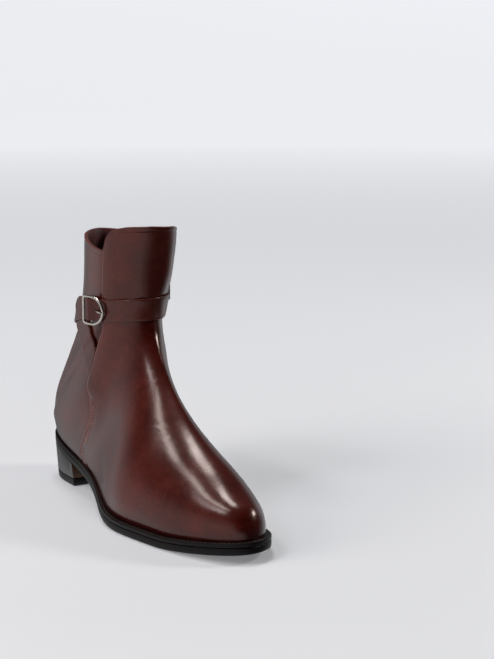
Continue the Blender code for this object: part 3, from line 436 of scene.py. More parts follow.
class LastForm:
    """Outer leather surface as a fan of sections from the toe to the top edge.

    A place on it is (t, tau): t counts along the fan, and tau runs from -1 at the lateral foot of the
    section, through 0 on the crest, to 1 at the medial foot. On the closed shaft rings -1 and 1 meet.
    """

    TOE_RADIUS = 27.0
    TOE_HEIGHT = 27.5
    TOE_BULGE = 0.4
    TOE_WIDE_AT = 0.12
    TOE_SQUARE = 2.2
    TOE_TURNS = (1.2, 4, 11, 21, 33, 47, 62)
    HEEL_RADIUS = 28.0
    FOOT_BACK_SQUARE = 2.2
    FOOT_CLEAR = 0.05
    HALVINGS = 34
    POLAR_Z = (37.0, 200.1)
    POLAR_STEP = 1.5

    def __init__(self, sole: SoleForm) -> None:
        """Sets up the fan on a sole."""
        self.sole = sole
        rows = self.toe_rows() + self.foot_rows() + self.heel_rows()
        open_rows = len(rows)
        rows = np.array([*rows, *SHAFT_SECTIONS], float)
        self.knots = arc_length(rows[:, :4])
        self.closes_at = self.knots[open_rows - 1]
        self.top = self.knots[-1]
        self.row_curve = natural_spline(self.knots, rows)
        self.make_polar()

    def toe_rows(self) -> list:
        """Rows that close the toe."""
        sole = self.sole
        tip_x = float(sole.feather[np.argmax(sole.feather[:, 0]), 1])
        rows = []
        for turn in self.TOE_TURNS:
            rise = math.sin(math.radians(turn))
            s = sole.toe_s - self.TOE_RADIUS * (1 - math.cos(math.radians(turn)))
            z = float(sole.feather_z(s))
            bulge = self.TOE_BULGE * rise
            rows.append(Section(s, z + self.TOE_HEIGHT * rise, s, z, sole.lateral(s) - bulge,
                                sole.medial(s) + bulge, self.TOE_WIDE_AT, self.TOE_SQUARE, tip_x + 2 * rise,
                                0.0, self.FOOT_BACK_SQUARE))
        return rows

    def foot_rows(self) -> list:
        """Rows over the foot."""
        sole = self.sole
        return [Section(row.front_s, row.front_z, row.foot_s, float(sole.feather_z(row.foot_s)),
                        sole.lateral(row.foot_s) - row.bulge_lat, sole.medial(row.foot_s) + row.bulge_med,
                        row.wide_at, row.square, row.crest_x, 0.0, self.FOOT_BACK_SQUARE)
                for row in FOOT_SECTIONS]

    def heel_rows(self) -> list:
        """Rows whose feet run round the heel seat."""
        rows = []
        for row in HEEL_SECTIONS:
            s = self.sole.heel_s + self.HEEL_RADIUS * (1 - math.cos(math.radians(row.turn)))
            rows.append(Section(row.front_s, row.front_z, s, float(self.sole.feather_z(s)), row.lateral,
                                row.medial, row.wide_at, row.square, row.crest_x, 0.0, row.back_square))
        return rows

    def is_open(self, t: Array) -> Array:
        """Whether the section at t stands on the sole on both sides."""
        return np.asarray(t, float) < self.closes_at - 1e-6

    def at(self, t: Array, tau: Array) -> Array:
        """Points (x, s, z) of the surface.

        Args:
            t: Places along the fan.
            tau: Places across the sections.

        Returns:
            The points, with the shape of t and tau and a last axis of three.
        """
        t, tau = np.broadcast_arrays(np.asarray(t, float), np.asarray(tau, float))
        row = np.moveaxis(self.row_curve(t), -1, 0)
        front_s, front_z, back_s, back_z, lateral, medial, wide_at, square, crest_x, back_x, lower = row
        is_open = self.is_open(t)
        foot_s = np.clip(back_s, self.sole.heel_s, self.sole.toe_s)
        back_s = np.where(is_open, foot_s, back_s)
        back_z = np.where(is_open, self.sole.feather_z(foot_s), back_z)
        foot_lat = self.sole.lateral(foot_s)
        foot_med = self.sole.medial(foot_s)
        back_x = np.where(is_open, (foot_lat + foot_med) / 2, back_x)
        is_lat = tau < 0
        foot = np.where(is_lat, foot_lat, foot_med)
        clear = self.FOOT_CLEAR
        wide = np.where(is_lat, np.where(is_open, np.minimum(lateral, foot_lat - clear), lateral),
                        np.where(is_open, np.maximum(medial, foot_med + clear), medial))
        reach = np.where(is_open, np.clip((foot - back_x) / (wide - back_x), 0, 0.9999), 0.0)
        cut = (1 - reach**lower) ** (1 / lower)
        half = np.abs(tau)
        upper_angle = np.clip(1 - 2 * half, 0, 1) * math.pi / 2
        lower_angle = np.clip(2 * half - 1, 0, 1) * math.pi / 2
        drop = np.clip(cut * np.sin(lower_angle) ** (2 / lower), 0, 1)
        upper_x = crest_x + (wide - crest_x) * np.cos(upper_angle) ** (2 / square)
        upper_u = wide_at + (1 - wide_at) * np.sin(upper_angle) ** (2 / square)
        lower_x = back_x + (wide - back_x) * np.clip(1 - drop**lower, 0, 1) ** (1 / lower)
        lower_u = wide_at * (1 - drop / np.maximum(cut, 1e-6))
        x = np.where(half <= 0.5, upper_x, lower_x)
        u = np.where(half <= 0.5, upper_u, lower_u)
        return np.stack([x, back_s + (front_s - back_s) * u, back_z + (front_z - back_z) * u], axis=-1)

    def outward(self, t: Array, tau: Array) -> Array:
        """Unit normals of the surface, by small steps along both of its parameters."""
        dt = 0.4
        dtau = 0.004
        t, tau = np.broadcast_arrays(np.asarray(t, float), np.asarray(tau, float))
        along = self.at(np.minimum(t + dt, self.top), tau) - self.at(np.maximum(t - dt, 0), tau)
        over = self.wrapped(t, tau + dtau) - self.wrapped(t, tau - dtau)
        return unit(np.cross(along, over))

    def wrapped(self, t: Array, tau: Array) -> Array:
        """Points for a tau that may run past the back of a closed ring."""
        turned = np.where(tau > 1, tau - 2, np.where(tau < -1, tau + 2, tau))
        return self.at(t, np.where(self.is_open(t), np.clip(tau, -1, 1), turned))

    def t_at_height(self, tau: Array, z: Array) -> Array:
        """Place along the fan where the surface at tau reaches height z."""
        low = np.zeros(np.broadcast(tau, z).shape)
        high = np.full(low.shape, self.top)
        for _ in range(self.HALVINGS):
            middle = (low + high) / 2
            under = self.at(middle, tau)[..., 2] < z
            low = np.where(under, middle, low)
            high = np.where(under, high, middle)
        return (low + high) / 2

    def make_polar(self) -> None:
        """Distance of the surface from the upright axis, by height and angle."""
        self.polar_z = np.arange(*self.POLAR_Z, self.POLAR_STEP)
        self.polar_angle = np.arange(-180.0, 180.1, self.POLAR_STEP)
        taus = np.linspace(-1, 1, 321)
        rays = []
        for z in self.polar_z:
            angle, far = polar(self.at(self.t_at_height(taus, z), taus))
            order = np.argsort(angle)
            rays.append(np.interp(self.polar_angle, angle[order], far[order], period=360))
        self.polar_far = np.array(rays)

    def round_at(self, angle: Array, z: Array) -> Array:
        """Points of the surface by angle about the upright axis and height."""
        angle, z = np.broadcast_arrays(np.asarray(angle, float), np.asarray(z, float))
        turned = (angle + 180) % 360
        i = np.clip((z - self.polar_z[0]) / self.POLAR_STEP, 0, len(self.polar_z) - 1.001)
        j = np.clip(turned / self.POLAR_STEP, 0, len(self.polar_angle) - 1.001)
        i0 = i.astype(int)
        j0 = j.astype(int)
        far = self.polar_far
        low = far[i0, j0] * (1 - (j - j0)) + far[i0, j0 + 1] * (j - j0)
        high = far[i0 + 1, j0] * (1 - (j - j0)) + far[i0 + 1, j0 + 1] * (j - j0)
        reach = low * (1 - (i - i0)) + high * (i - i0)
        turn = np.radians(angle)
        return np.stack([AXIS_X + reach * np.sin(turn), AXIS_S + reach * np.cos(turn), z], axis=-1)

    def round_frame(self, angle: Array, z: Array) -> tuple:
        """Points and unit normals of the surface by angle and height."""
        turn = 2.0
        rise = 2.0
        sideways = self.round_at(angle + turn, z) - self.round_at(angle - turn, z)
        upwards = self.round_at(angle, z + rise) - self.round_at(angle, z - rise)
        return self.round_at(angle, z), unit(np.cross(upwards, sideways))


def linear(hex_colour: str) -> tuple:
    """An sRGB hex colour as linear red, green, blue and alpha."""
    parts = [int(hex_colour[i : i + 2], 16) / 255 for i in (1, 3, 5)]
    return (*[c / 12.92 if c <= 0.04045 else ((c + 0.055) / 1.055) ** 2.4 for c in parts], 1.0)


def per_mm(size: float) -> float:
    """Texture scale on object coordinates, which are metres, for a pattern of a size in millimetres."""
    return 1.0 / (size * MM)


def add_node(tree: bpy.types.NodeTree, kind: str, settings: Optional[dict] = None,
             links: Optional[dict] = None) -> bpy.types.Node:
    """Adds a shader node with its settings and links.

    Args:
        tree: Node tree of a material or of the world.
        kind: Blender's name of the node type, without its first word.
        settings: Values by property name, or by socket name or number for an input.
        links: Output sockets by name or number of the input that each feeds.

    Returns:
        The new node.
    """
    node = tree.nodes.new(f"ShaderNode{kind}")
    for key, value in (settings or {}).items():
        if isinstance(key, str) and hasattr(node, key):
            setattr(node, key, value)
        else:
            node.inputs[key].default_value = value
    for key, socket in (links or {}).items():
        tree.links.new(socket, node.inputs[key])
    return node


def spread(tree: bpy.types.NodeTree, value: Socket, reach: tuple, result: tuple) -> Socket:
    """A value stretched from one range to another."""
    settings = {1: reach[0], 2: reach[1], 3: result[0], 4: result[1]}
    return add_node(tree, "MapRange", settings, {0: value}).outputs[0]


def product(tree: bpy.types.NodeTree, first: Socket, second: Socket) -> Socket:
    """Two values multiplied."""
    return add_node(tree, "Math", {"operation": "MULTIPLY"}, {0: first, 1: second}).outputs[0]


class Recipe:
    """A procedural material that is being put together on object coordinates."""

    MIDDLE_NOISE = (0.3, 0.7)

    def __init__(self, name: str) -> None:
        """Starts a material with the name of the real one."""
        self.material = bpy.data.materials.new(name)
        self.material.use_nodes = True
        self.tree = self.material.node_tree
        self.place = add_node(self.tree, "TexCoord").outputs["Object"]

    def noise(self, size: float, detail: float, place: Optional[Socket] = None, **more: float) -> Socket:
        """Noise with features of a size in millimetres."""
        settings = {"Scale": per_mm(size), "Detail": detail, **more}
        links = {"Vector": self.place if place is None else place}
        return add_node(self.tree, "TexNoise", settings, links).outputs[0]

    def gloss(self, noise: Socket, low: float, high: float) -> Socket:
        """Roughness that follows a noise."""
        return spread(self.tree, noise, self.MIDDLE_NOISE, (low, high))

    def turned(self, **settings: tuple) -> Socket:
        """Object coordinates turned or stretched."""
        return add_node(self.tree, "Mapping", settings, {"Vector": self.place}).outputs[0]

    def field(self, name: str) -> Socket:
        """Values that the mesh carries under a name."""
        return add_node(self.tree, "Attribute", {"attribute_name": name}).outputs["Fac"]

    def blend(self, share: Socket, first: Colour, second: Colour) -> Socket:
        """Mix of two colours, each a hex string or a socket."""
        settings = {"data_type": "RGBA"}
        links = {0: share}
        for key, end in ((6, first), (7, second)):
            if isinstance(end, str):
                settings[key] = linear(end)
            else:
                links[key] = end
        return add_node(self.tree, "Mix", settings, links).outputs[2]

    def ramp(self, value: Socket, places: tuple, colours: tuple) -> Socket:
        """Colour that runs from one hex colour to another between two places of a value."""
        node = add_node(self.tree, "ValToRGB", {}, {0: value})
        for k in (0, 1):
            node.color_ramp.elements[k].position = places[k]
            node.color_ramp.elements[k].color = linear(colours[k])
        return node.outputs[0]

    def bump(self, height: Socket, strength: float, depth: float, under: Optional[Socket] = None) -> Socket:
        """Relief of a depth in millimetres, on top of another one."""
        links = {"Height": height} if under is None else {"Height": height, "Normal": under}
        return add_node(self.tree, "Bump", {"Strength": strength, "Distance": depth * MM}, links).outputs[0]

    def finished(self, inputs: dict) -> bpy.types.Material:
        """The material, with sockets linked to its shader and plain values set on it."""
        shader = self.tree.nodes["Principled BSDF"]
        for key, value in inputs.items():
            if isinstance(value, Socket):
                self.tree.links.new(value, shader.inputs[key])
            else:
                shader.inputs[key].default_value = value
        return self.material


@dataclass(frozen=True)
class CalfLeather:
    """Polished calf, aniline dyed and waxed: deep red-brown that greys where the wax catches the light."""

    name: str = "polished_calf"
    deep: str = "#3c0e09"
    middle: str = "#541810"
    worn: str = "#6a261a"
    # Colour of the painted shade near the sole, behind the lap and in the gap under the buckle
    painted_shade: str = "#120404"
    cut_edge: str = "#98675b"
    wax: str = "#ffe6dc"
    roughness: float = 0.24
    coat: float = 0.15
    coat_roughness: float = 0.14
    grain_mm: float = 1.3
    fleck_mm: float = 3.2
    swell_mm: float = 6.0
    ripple_mm: float = 2.4
    mottle_mm: float = 24.0

    def make(self) -> bpy.types.Material:
        """The material, with pores, fine wrinkles, painted shade along the seams and the sole, and a painted
        highlight line on the lower lap.
        """
        made = Recipe(self.name)
        mottle = made.noise(self.mottle_mm, 4.0, Roughness=0.6)
        tone = made.ramp(mottle, (0.32, 0.72), (self.deep, self.middle))
        fleck = spread(made.tree, made.noise(self.fleck_mm, 3.0), (0.5, 0.85), (0.0, 0.35))
        tone = made.blend(fleck, tone, self.worn)
        # Painted shade: near-black blended in near the sole, on the quarter behind the lap and in the gap
        # under the buckle
        tone = made.blend(made.field("painted_shade"), tone, self.painted_shade)
        # Pale cut edge of the vamp, with a painted highlight line over the sewn lower lap
        tone = made.blend(made.field("edge"), tone, self.cut_edge)

        # Pores are drawn at 1.3 mm, coarser than real calf, so that they show at the size of the render
        pores = add_node(made.tree, "TexVoronoi", {"Scale": per_mm(self.grain_mm)}, {"Vector": made.place})
        normal = made.bump(pores.outputs["Distance"], 0.10, 0.12)
        normal = made.bump(made.noise(self.swell_mm, 2.0), 0.14, 0.6, normal)
        flat = made.turned(Scale=(0.22, 0.22, 1.0), Rotation=(0.25, 0.25, 0.0))
        ripple = made.noise(self.ripple_mm, 1.0, flat, Distortion=0.2)
        normal = made.bump(product(made.tree, ripple, made.field("wrinkle")), 0.3, 0.9, normal)
        return made.finished({
            "Base Color": tone, "Normal": normal,
            "Roughness": made.gloss(mottle, self.roughness - 0.05, self.roughness + 0.06),
            "Coat Weight": self.coat, "Coat Roughness": self.coat_roughness, "IOR": 1.5,
            "Specular Tint": linear(self.wax)})


@dataclass(frozen=True)
class PlainLeather:
    """Leather without the vamp's wrinkles: lining, cut edges, burnished soles and stacked heels."""

    name: str
    dark: str
    light: str
    roughness: float
    grain_mm: float
    bump: float
    coat: float = 0.0
    layer_mm: float = 0.0
    ior: float = 1.5
    layer_line: str = "#060404"

    def make(self) -> bpy.types.Material:
        """The material, with its grain and, in a stack, the lines between its layers."""
        made = Recipe(self.name)
        broad = made.noise(self.grain_mm * 9, 5.0, Roughness=0.62)
        colour = made.ramp(broad, (0.3, 0.75), (self.dark, self.light))
        normal = made.bump(made.noise(self.grain_mm, 3.0), self.bump, 0.4)
        if self.layer_mm:
            height = add_node(made.tree, "SeparateXYZ", {}, {0: made.place}).outputs[2]
            per_layer = {"operation": "MULTIPLY", 1: per_mm(self.layer_mm)}
            layers = add_node(made.tree, "Math", per_layer, {0: height}).outputs[0]
            saw = add_node(made.tree, "Math", {"operation": "PINGPONG", 1: 0.5}, {0: layers}).outputs[0]
            line = spread(made.tree, saw, (0.0, 0.06), (0.0, 1.0))
            colour = made.blend(line, self.layer_line, colour)
            normal = made.bump(line, 0.35, 0.3, normal)
        return made.finished({
            "Base Color": colour, "Normal": normal,
            "Roughness": made.gloss(broad, self.roughness - 0.06, self.roughness + 0.06),
            "Coat Weight": self.coat, "Coat Roughness": 0.25, "IOR": self.ior})


@dataclass(frozen=True)
class PlatedMetal:
    """Cast zinc with nickel plating: bright, faintly warm, with soft polishing marks."""

    name: str
    colour: str
    roughness: float
    tarnish: str = "#8d8680"
    mark_mm: float = 1.5

    def make(self) -> bpy.types.Material:
        """The material, with polishing marks in its gloss and a faint cast unevenness."""
        made = Recipe(self.name)
        marks = made.noise(self.mark_mm, 4.0)
        share = spread(made.tree, marks, (0.45, 0.9), (0.0, 0.5))
        return made.finished({
            "Base Color": made.blend(share, self.colour, self.tarnish), "Normal": made.bump(marks, 0.08, 0.1),
            "Roughness": made.gloss(marks, self.roughness - 0.05, self.roughness + 0.08), "Metallic": 1.0})


@dataclass(frozen=True)
class WovenTape:
    """Black polyester zip tape, woven in a fine twill with a dull sheen."""

    name: str = "woven_zip_tape"
    dark: str = "#08080a"
    light: str = "#1d1c20"
    thread_mm: float = 0.8

    def make(self) -> bpy.types.Material:
        """The material, with a twill drawn at 0.8 mm so that it shows."""
        made = Recipe(self.name)
        slanted = made.turned(Rotation=(math.radians(45), 0.0, 0.0))
        weave = {"Scale": per_mm(self.thread_mm) / 6.3, "Distortion": 0.6, "bands_direction": "Z"}
        twill = add_node(made.tree, "TexWave", weave, {"Vector": slanted}).outputs["Fac"]
        return made.finished({
            "Base Color": made.blend(twill, self.dark, self.light), "Normal": made.bump(twill, 0.5, 0.2),
            "Roughness": 0.75, "Sheen Weight": 0.2})


class Finishes:
    """Every finish of the boot, each made once."""

    def __init__(self) -> None:
        """Makes the materials."""
        self.calf = CalfLeather().make()
        self.strap = CalfLeather("polished_strap_calf", "#380d08", "#4c160f", coat=0.22, roughness=0.38,
                                 mottle_mm=15.0).make()
        self.lining = PlainLeather("mauve_calf_lining", "#4d2326", "#6b383b", 0.62, 0.9, 0.25).make()
        self.cut_edge = PlainLeather("painted_cut_edge", "#4a1a15", "#7a4138", 0.5, 0.5, 0.3).make()
        # Strap edges: pale edge paint, made lighter still as a painted highlight for the light line along the
        # top edge
        self.strap_edge_and_highlight = PlainLeather("painted_strap_edge", "#552720", "#8d5a4c", 0.45, 0.5, 0.3).make()
        self.thread = PlainLeather("waxed_thread", "#6e3429", "#a0665a", 0.5, 0.4, 0.3).make()
        self.welt_thread = PlainLeather("dark_welt_thread", "#2b1712", "#5a3b2e", 0.55, 0.4, 0.3).make()
        self.sole = PlainLeather("burnished_sole_leather", "#0a0606", "#170f0e", 0.46, 1.2, 0.16,
                                 ior=1.28).make()
        self.tread = PlainLeather("worn_sole_tread", "#0f0b0a", "#231a17", 0.6, 1.6, 0.3).make()
        self.heel = PlainLeather("burnished_stacked_leather", "#0d0a09", "#241b18", 0.36, 1.6, 0.16,
                                 coat=0.2, layer_mm=5.0).make()
        self.breast = PlainLeather("brown_heel_breast", "#352010", "#5c3a1b", 0.5, 1.4, 0.25,
                                   layer_mm=5.0).make()
        self.rubber = PlainLeather("moulded_heel_rubber", "#070707", "#121111", 0.66, 1.1, 0.3).make()
        self.nickel = PlatedMetal("nickel_plated_zinc", "#c9c2b8", 0.22).make()
        self.dark_nickel = PlatedMetal("dark_nickel_plate", "#7d7770", 0.3).make()
        self.teeth = PlatedMetal("black_nickel_teeth", "#2b2a2c", 0.35).make()
        self.tape = WovenTape().make()


def settle(piece: bpy.types.Object, body: Body, nodes: Sequence[str] = ()) -> bpy.types.Object:
    """Hangs a finished piece on its body and hides the CAD nodes that it stands for.

    Args:
        piece: The finished object.
        body: Body that it moves with.
        nodes: CAD nodes that the piece replaces.

    Returns:
        The same piece.
    """
    if nodes:
        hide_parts(*nodes)
    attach(piece, body.value)
    LOG.info("%s: %d faces on %s", piece.name, len(piece.data.polygons), body.value)
    return piece


def linked(name: str, data: bpy.types.ID) -> bpy.types.Object:
    """A new object in the scene."""
    made = bpy.data.objects.new(name, data)
    bpy.context.scene.collection.objects.link(made)
    return made


def mesh_piece(name: str, points: Array, faces: Sequence, finishes: Sequence,
               face_finish: Optional[Sequence[int]] = None, fields: Optional[dict] = None,
               sharp: float = 40.0) -> bpy.types.Object:
    """A closed piece from boot points, merged, with its faces turned outwards.

    Args:
        name: Name of the piece.
        points: Points (x, s, z) in millimetres.
        faces: Corner numbers of each face.
        finishes: Materials of the piece.
        face_finish: Number of the material of each face.
        fields: Values for each point that the materials read, by name.
        sharp: Angle in degrees past which an edge stays sharp.

    Returns:
        The new object, at the origin.
    """
    mesh = bpy.data.meshes.new(name)
    mesh.from_pydata([tuple(p) for p in to_world(points).reshape(-1, 3)], [], faces)
    for key, values in (fields or {}).items():
        layer = mesh.attributes.new(key, "FLOAT", "POINT")
        layer.data.foreach_set("value", np.asarray(values, np.float32).reshape(-1))
    if face_finish is not None:
        mesh.polygons.foreach_set("material_index", np.asarray(face_finish, np.int32).reshape(-1))
    for finish in finishes:
        mesh.materials.append(finish)
    shape = bmesh.new()
    shape.from_mesh(mesh)
    bmesh.ops.remove_doubles(shape, verts=shape.verts, dist=MERGE * MM)
    bmesh.ops.recalc_face_normals(shape, faces=shape.faces)
    shape.to_mesh(mesh)
    shape.free()
    mesh.shade_smooth()
    mesh.set_sharp_from_angle(angle=math.radians(sharp))
    return linked(name, mesh)


def grid_faces(rows: int, columns: int, wrap: bool = False) -> list:
    """Quads over a grid of points that is stored row by row."""
    faces = []
    for i in range(rows - 1):
        for j in range(columns if wrap else columns - 1):
            k = (j + 1) % columns
            faces.append((i * columns + j, i * columns + k, (i + 1) * columns + k, (i + 1) * columns + j))
    return faces


def tube_faces(rows: int, columns: int) -> list:
    """Quads round a stack of closed rings, with one face on each end."""
    last = (rows - 1) * columns
    return grid_faces(rows, columns, wrap=True) + [tuple(range(columns)), tuple(range(last, last + columns))]


def copies(name: str, one: tuple, starts: Array, axes: tuple,
           finish: bpy.types.Material) -> bpy.types.Object:
    """One object with a copy of a small form at every start.

    Args:
        name: Name of the piece.
        one: Points and faces of the form.
        starts: Boot points of the copies.
        axes: The form's own three directions at each start.
        finish: Material of all the copies.

    Returns:
        The new object.
    """
    form, form_faces = one
    a, b, c = axes
    points = (starts[:, None] + form[None, :, 0:1] * a[:, None] + form[None, :, 1:2] * b[:, None]
              + form[None, :, 2:3] * c[:, None])
    faces = [tuple(k + len(form) * i for k in face) for i in range(len(starts)) for face in form_faces]
    return mesh_piece(name, points, faces, [finish])


def select_only(piece: bpy.types.Object) -> None:
    """Makes one object the only selected and the active one."""
    bpy.ops.object.select_all(action="DESELECT")
    piece.select_set(True)
    bpy.context.view_layer.objects.active = piece


def take_mesh(piece: bpy.types.Object) -> tuple:
    """Points and faces of a helper object, which is then removed."""
    points = np.array([v.co for v in piece.data.vertices])
    faces = [tuple(p.vertices) for p in piece.data.polygons]
    bpy.data.objects.remove(piece, do_unlink=True)
    return points, faces


def beveled_box(low: tuple, high: tuple, width: float, segments: int = 2, narrow: float = 1.0) -> tuple:
    """Points and faces of a box with beveled edges.

    Args:
        low: Corner with the least x, y and z.
        high: Corner with the greatest.
        width: Width of the bevel.
        segments: Faces across the bevel.
        narrow: Share of the width that is left at its low end in y.

    Returns:
        The points and the faces, in the units of the corners.
    """
    bpy.ops.object.select_all(action="DESELECT")
    bpy.ops.mesh.primitive_cube_add(size=2.0)
    block = bpy.context.view_layer.objects.active
    for vertex in block.data.vertices:
        x, y, z = [(low, high)[c > 0][k] for k, c in enumerate(vertex.co)]
        vertex.co = (x * narrow if vertex.co.y < 0 else x, y, z)
    bevel = block.modifiers.new("bevel", "BEVEL")
    bevel.width = width
    bevel.segments = segments
    bevel.limit_method = "NONE"
    select_only(block)
    bpy.ops.object.modifier_apply(modifier=bevel.name)
    return take_mesh(block)


def curve_mesh(name: str, lines: Sequence, closed: bool, settings: dict) -> bpy.types.Object:
    """Draws lines as one curve and makes it a mesh.

    Args:
        name: Name of the object.
        lines: Lines of points (x, y, z, radius), in metres but for the radius.
        closed: Whether each line is a loop.
        settings: Values of the curve by property name.

    Returns:
        The mesh object.
    """
    curve = bpy.data.curves.new(name, "CURVE")
    for key, value in settings.items():
        setattr(curve, key, value)
    for points in lines:
        line = curve.splines.new("POLY")
        line.points.add(len(points) - 1)
        for spot, (x, y, z, radius) in zip(line.points, points):
            spot.co = (x, y, z, 1.0)
            spot.radius = radius
        line.use_cyclic_u = closed
    select_only(linked(name, curve))
    bpy.ops.object.convert(target="MESH")
    return bpy.context.view_layer.objects.active


def bisect_piece(piece: bpy.types.Object, point: Array, outward: Array, side: Side) -> None:
    """Cuts off what lies on the outward side of a plane, on one side of the boot, and closes the cut.

    Args:
        piece: Piece to cut.
        point: Boot point on the plane.
        outward: Direction in boot terms towards what is removed.
        side: Side of the boot that is cut, so that the far side of a wrapped strap stays whole.
    """
    select_only(piece)
    away = (outward[0], -outward[1], outward[2])
    bpy.ops.object.mode_set(mode="EDIT")
    bpy.ops.mesh.select_all(action="DESELECT")
    shape = bmesh.from_edit_mesh(piece.data)
    for face in shape.faces:
        face.select_set((face.calc_center_median().x / MM - AXIS_X) * side.value > 0)
    bmesh.update_edit_mesh(piece.data)
    bpy.ops.mesh.bisect(plane_co=tuple(to_world(point)), plane_no=away, use_fill=True, clear_outer=True)
    bpy.ops.object.mode_set(mode="OBJECT")


def stitch_row(name: str, path: Array, normals: Array, size: StitchSize,
               finish: bpy.types.Material) -> bpy.types.Object:
    """A row of stitches along a path, each one a small rounded bar copied from one model.

    Args:
        name: Name of the piece.
        path: Boot points along the seam.
        normals: Outward directions at those points.
        size: Sizes of the stitches.
        finish: Thread material.

    Returns:
        One object with all the stitches.
    """
    # Sections of a stitch, as place along it, thickness and dip, and how far its middle stands out
    rings = ((-0.5, 0.35, -0.5), (-0.32, 1.0, 0.0), (0.32, 1.0, 0.0), (0.5, 0.35, -0.5))
    out = 0.3
    look = 0.6
    pitch, length, radius = size
    along = arc_length(path)
    count = max(2, int((along[-1] - length) / pitch))
    places = np.linspace(length / 2, along[-1] - length / 2, count)

    def between(at: Array, rows: Array) -> Array:
        """Rows given along the path, at other places."""
        return np.stack([np.interp(at, along, rows[:, k]) for k in range(3)], axis=1)

    ahead = unit(between(places + look, path) - between(places - look, path))
    side = unit(np.cross(unit(between(places, normals)), ahead))
    up = unit(np.cross(ahead, side))
    bar = np.array([(share * length, thick * radius * math.cos(turn),
                     thick * radius * math.sin(turn) + dip * radius + radius * out)
                    for share, thick, dip in rings for turn in np.radians(np.arange(0, 360, 60))])
    return copies(name, (bar, tube_faces(4, 6)), between(places, path), (ahead, side, up), finish)


@dataclass
class UpperAssembly:
    """Vamp and quarters as one hollow wall, with the lap, the zip recess, the creases and the lining."""

    sole: SoleForm
    last: LastForm
    finishes: Finishes
    body_rows: int = 176
    top_rows: int = 40
    inner_step: int = 4
    lap_fade: float = 24.0
    lap_press: float = 0.3
    gap_depth: float = 2.2
    notch_z: float = 74.0
    seam_rows: tuple = (1.5, 5.9)
    seam_foot_z: float = 25.0
    seam_depth: float = 0.5
    seam_swell: float = 0.2
    highlight_row: float = 4.6
    bead_at: float = 2.6
    bead_depth: float = 0.22
    rim_z: float = 182.0
    rim_beads: tuple = ((0.12, 0.3), (0.5, 0.5), (0.88, 0.3))
    zip_half: float = 4.5
    zip_foot_z: float = 41.0
    zip_depth: float = 1.75
    zip_swell: float = 0.3
    zip_seam: float = 0.26
    zip_rows_z: tuple = (46.0, 173.0)
    zip_offsets: tuple = (-10.5, -9.4, -8.6, -7.8, -7.0, -6.3, -5.6, -5.1, -4.8, -4.55, -4.3, -4.0, -3.0,
                          -1.5, 0.0, 1.5, 3.0, 4.0, 4.3, 4.55, 4.8, 5.1, 5.6, 6.3, 7.0, 7.8, 8.6, 9.4, 10.5)
    zip_rows: tuple = (-8.6, -7.0, 7.0)
    lateral_columns: int = 96
    corner_columns: int = 20
    front_columns: int = 72
    rear_columns: int = 34
    corner_angles: tuple = (-46.5, -33.0)
    refine_reach: tuple = (5.0, 2.4, 1.1)
    wide_reach: float = 2.0
    creases: tuple = CREASES

    def row_t(self, tau: Array) -> Array:
        """Place along the fan of every row for the given places across.

        Args:
            tau: Places across, either one list for all rows or one list for each row.

        Returns:
            An array of rows by places.
        """
        tau = np.asarray(tau, float)
        tau = np.broadcast_to(tau, (self.body_rows + self.top_rows, tau.shape[-1]))
        body = np.linspace(0, self.start_of_top, self.body_rows, endpoint=False)
        share = np.linspace(0, 1, self.top_rows)[:, None]
        rim = np.interp(tau[self.body_rows :], self.rim_tau, self.rim_t)
        top = self.start_of_top + (rim - self.start_of_top) * share
        return np.concatenate([np.repeat(body[:, None], tau.shape[1], axis=1), top])

    def find_rim(self) -> None:
        """Where each line across the last meets the top edge."""
        self.start_of_top = self.last.knots[-6]
        self.lap_curve = natural_spline([p.z for p in LAP_PATH], [p.s for p in LAP_PATH])
        self.rim_tau = np.linspace(-1, 1, 1601)
        near_rim = self.last.t_at_height(self.rim_tau, self.rim_z)
        self.rim_angle, _ = polar(self.last.at(near_rim, self.rim_tau))
        self.rim_t = self.last.t_at_height(self.rim_tau, self.topline(self.rim_angle))

    @staticmethod
    def topline(angle: Array) -> Array:
        """Height of the top edge by angle, eased between its points but for the vamp's sharp rear corner."""
        plain = table_value(TOPLINE, angle)
        spacing = np.linspace(-7, 7, 15)
        turned = (np.asarray(angle, float)[..., None] + spacing + 180) % 360 - 180
        weight = bell(spacing, 3.5)
        eased = (table_value(TOPLINE, turned) * weight).sum(axis=-1) / weight.sum()
        return plain + (eased - plain) * np.maximum(ease(-38, -31, angle), ease(-50, -56, angle))

    def lap_slope(self, z: Array) -> tuple:
        """Slope of the vamp's rear edge, and the length of a step of one up along it."""
        slope = self.lap_curve(z + 0.5) - self.lap_curve(z - 0.5)
        return slope, np.sqrt(1 + slope**2)

    def lap_distance(self, points: Array) -> Array:
        """Signed distance along the leather from the vamp's rear edge, positive on the vamp."""
        z = np.clip(points[..., 2], LAP_PATH[0].z, LAP_PATH[-1].z)
        return (points[..., 1] - self.lap_curve(z)) / self.lap_slope(z)[1]

    @staticmethod
    def zip_distance(points: Array) -> Array:
        """Signed distance along the leather from the zip line, positive behind it."""
        angle, far = polar(points)
        return np.radians(np.where(angle < -90, angle + 360, angle) - ZIP_ANGLE) * far

    def find_columns(self) -> Array:
        """Places across the last for every row, closer at the vamp's top corner and along the zip."""
        corner = np.interp(self.corner_angles, self.rim_angle[:800], self.rim_tau[:800])
        lateral = np.concatenate([np.linspace(-1, 0, self.lateral_columns, endpoint=False),
                                  np.linspace(*corner, self.corner_columns)])
        lateral = np.unique(lateral.round(4))
        probe = np.linspace(0, 1, 481)
        points = self.last.at(self.row_t(probe), probe)
        columns = []
        for row in self.zip_distance(points):
            rising = np.maximum.accumulate(row) + np.arange(len(row)) * 1e-9
            tape = np.interp(self.zip_offsets, rising, probe)
            columns.append(np.concatenate([
                lateral, np.linspace(0, tape[0], self.front_columns, endpoint=False), tape,
                np.linspace(tape[-1], 1, self.rear_columns + 1)[1:]]))
        self.zip_column = len(lateral) + self.front_columns
        return np.array(columns)

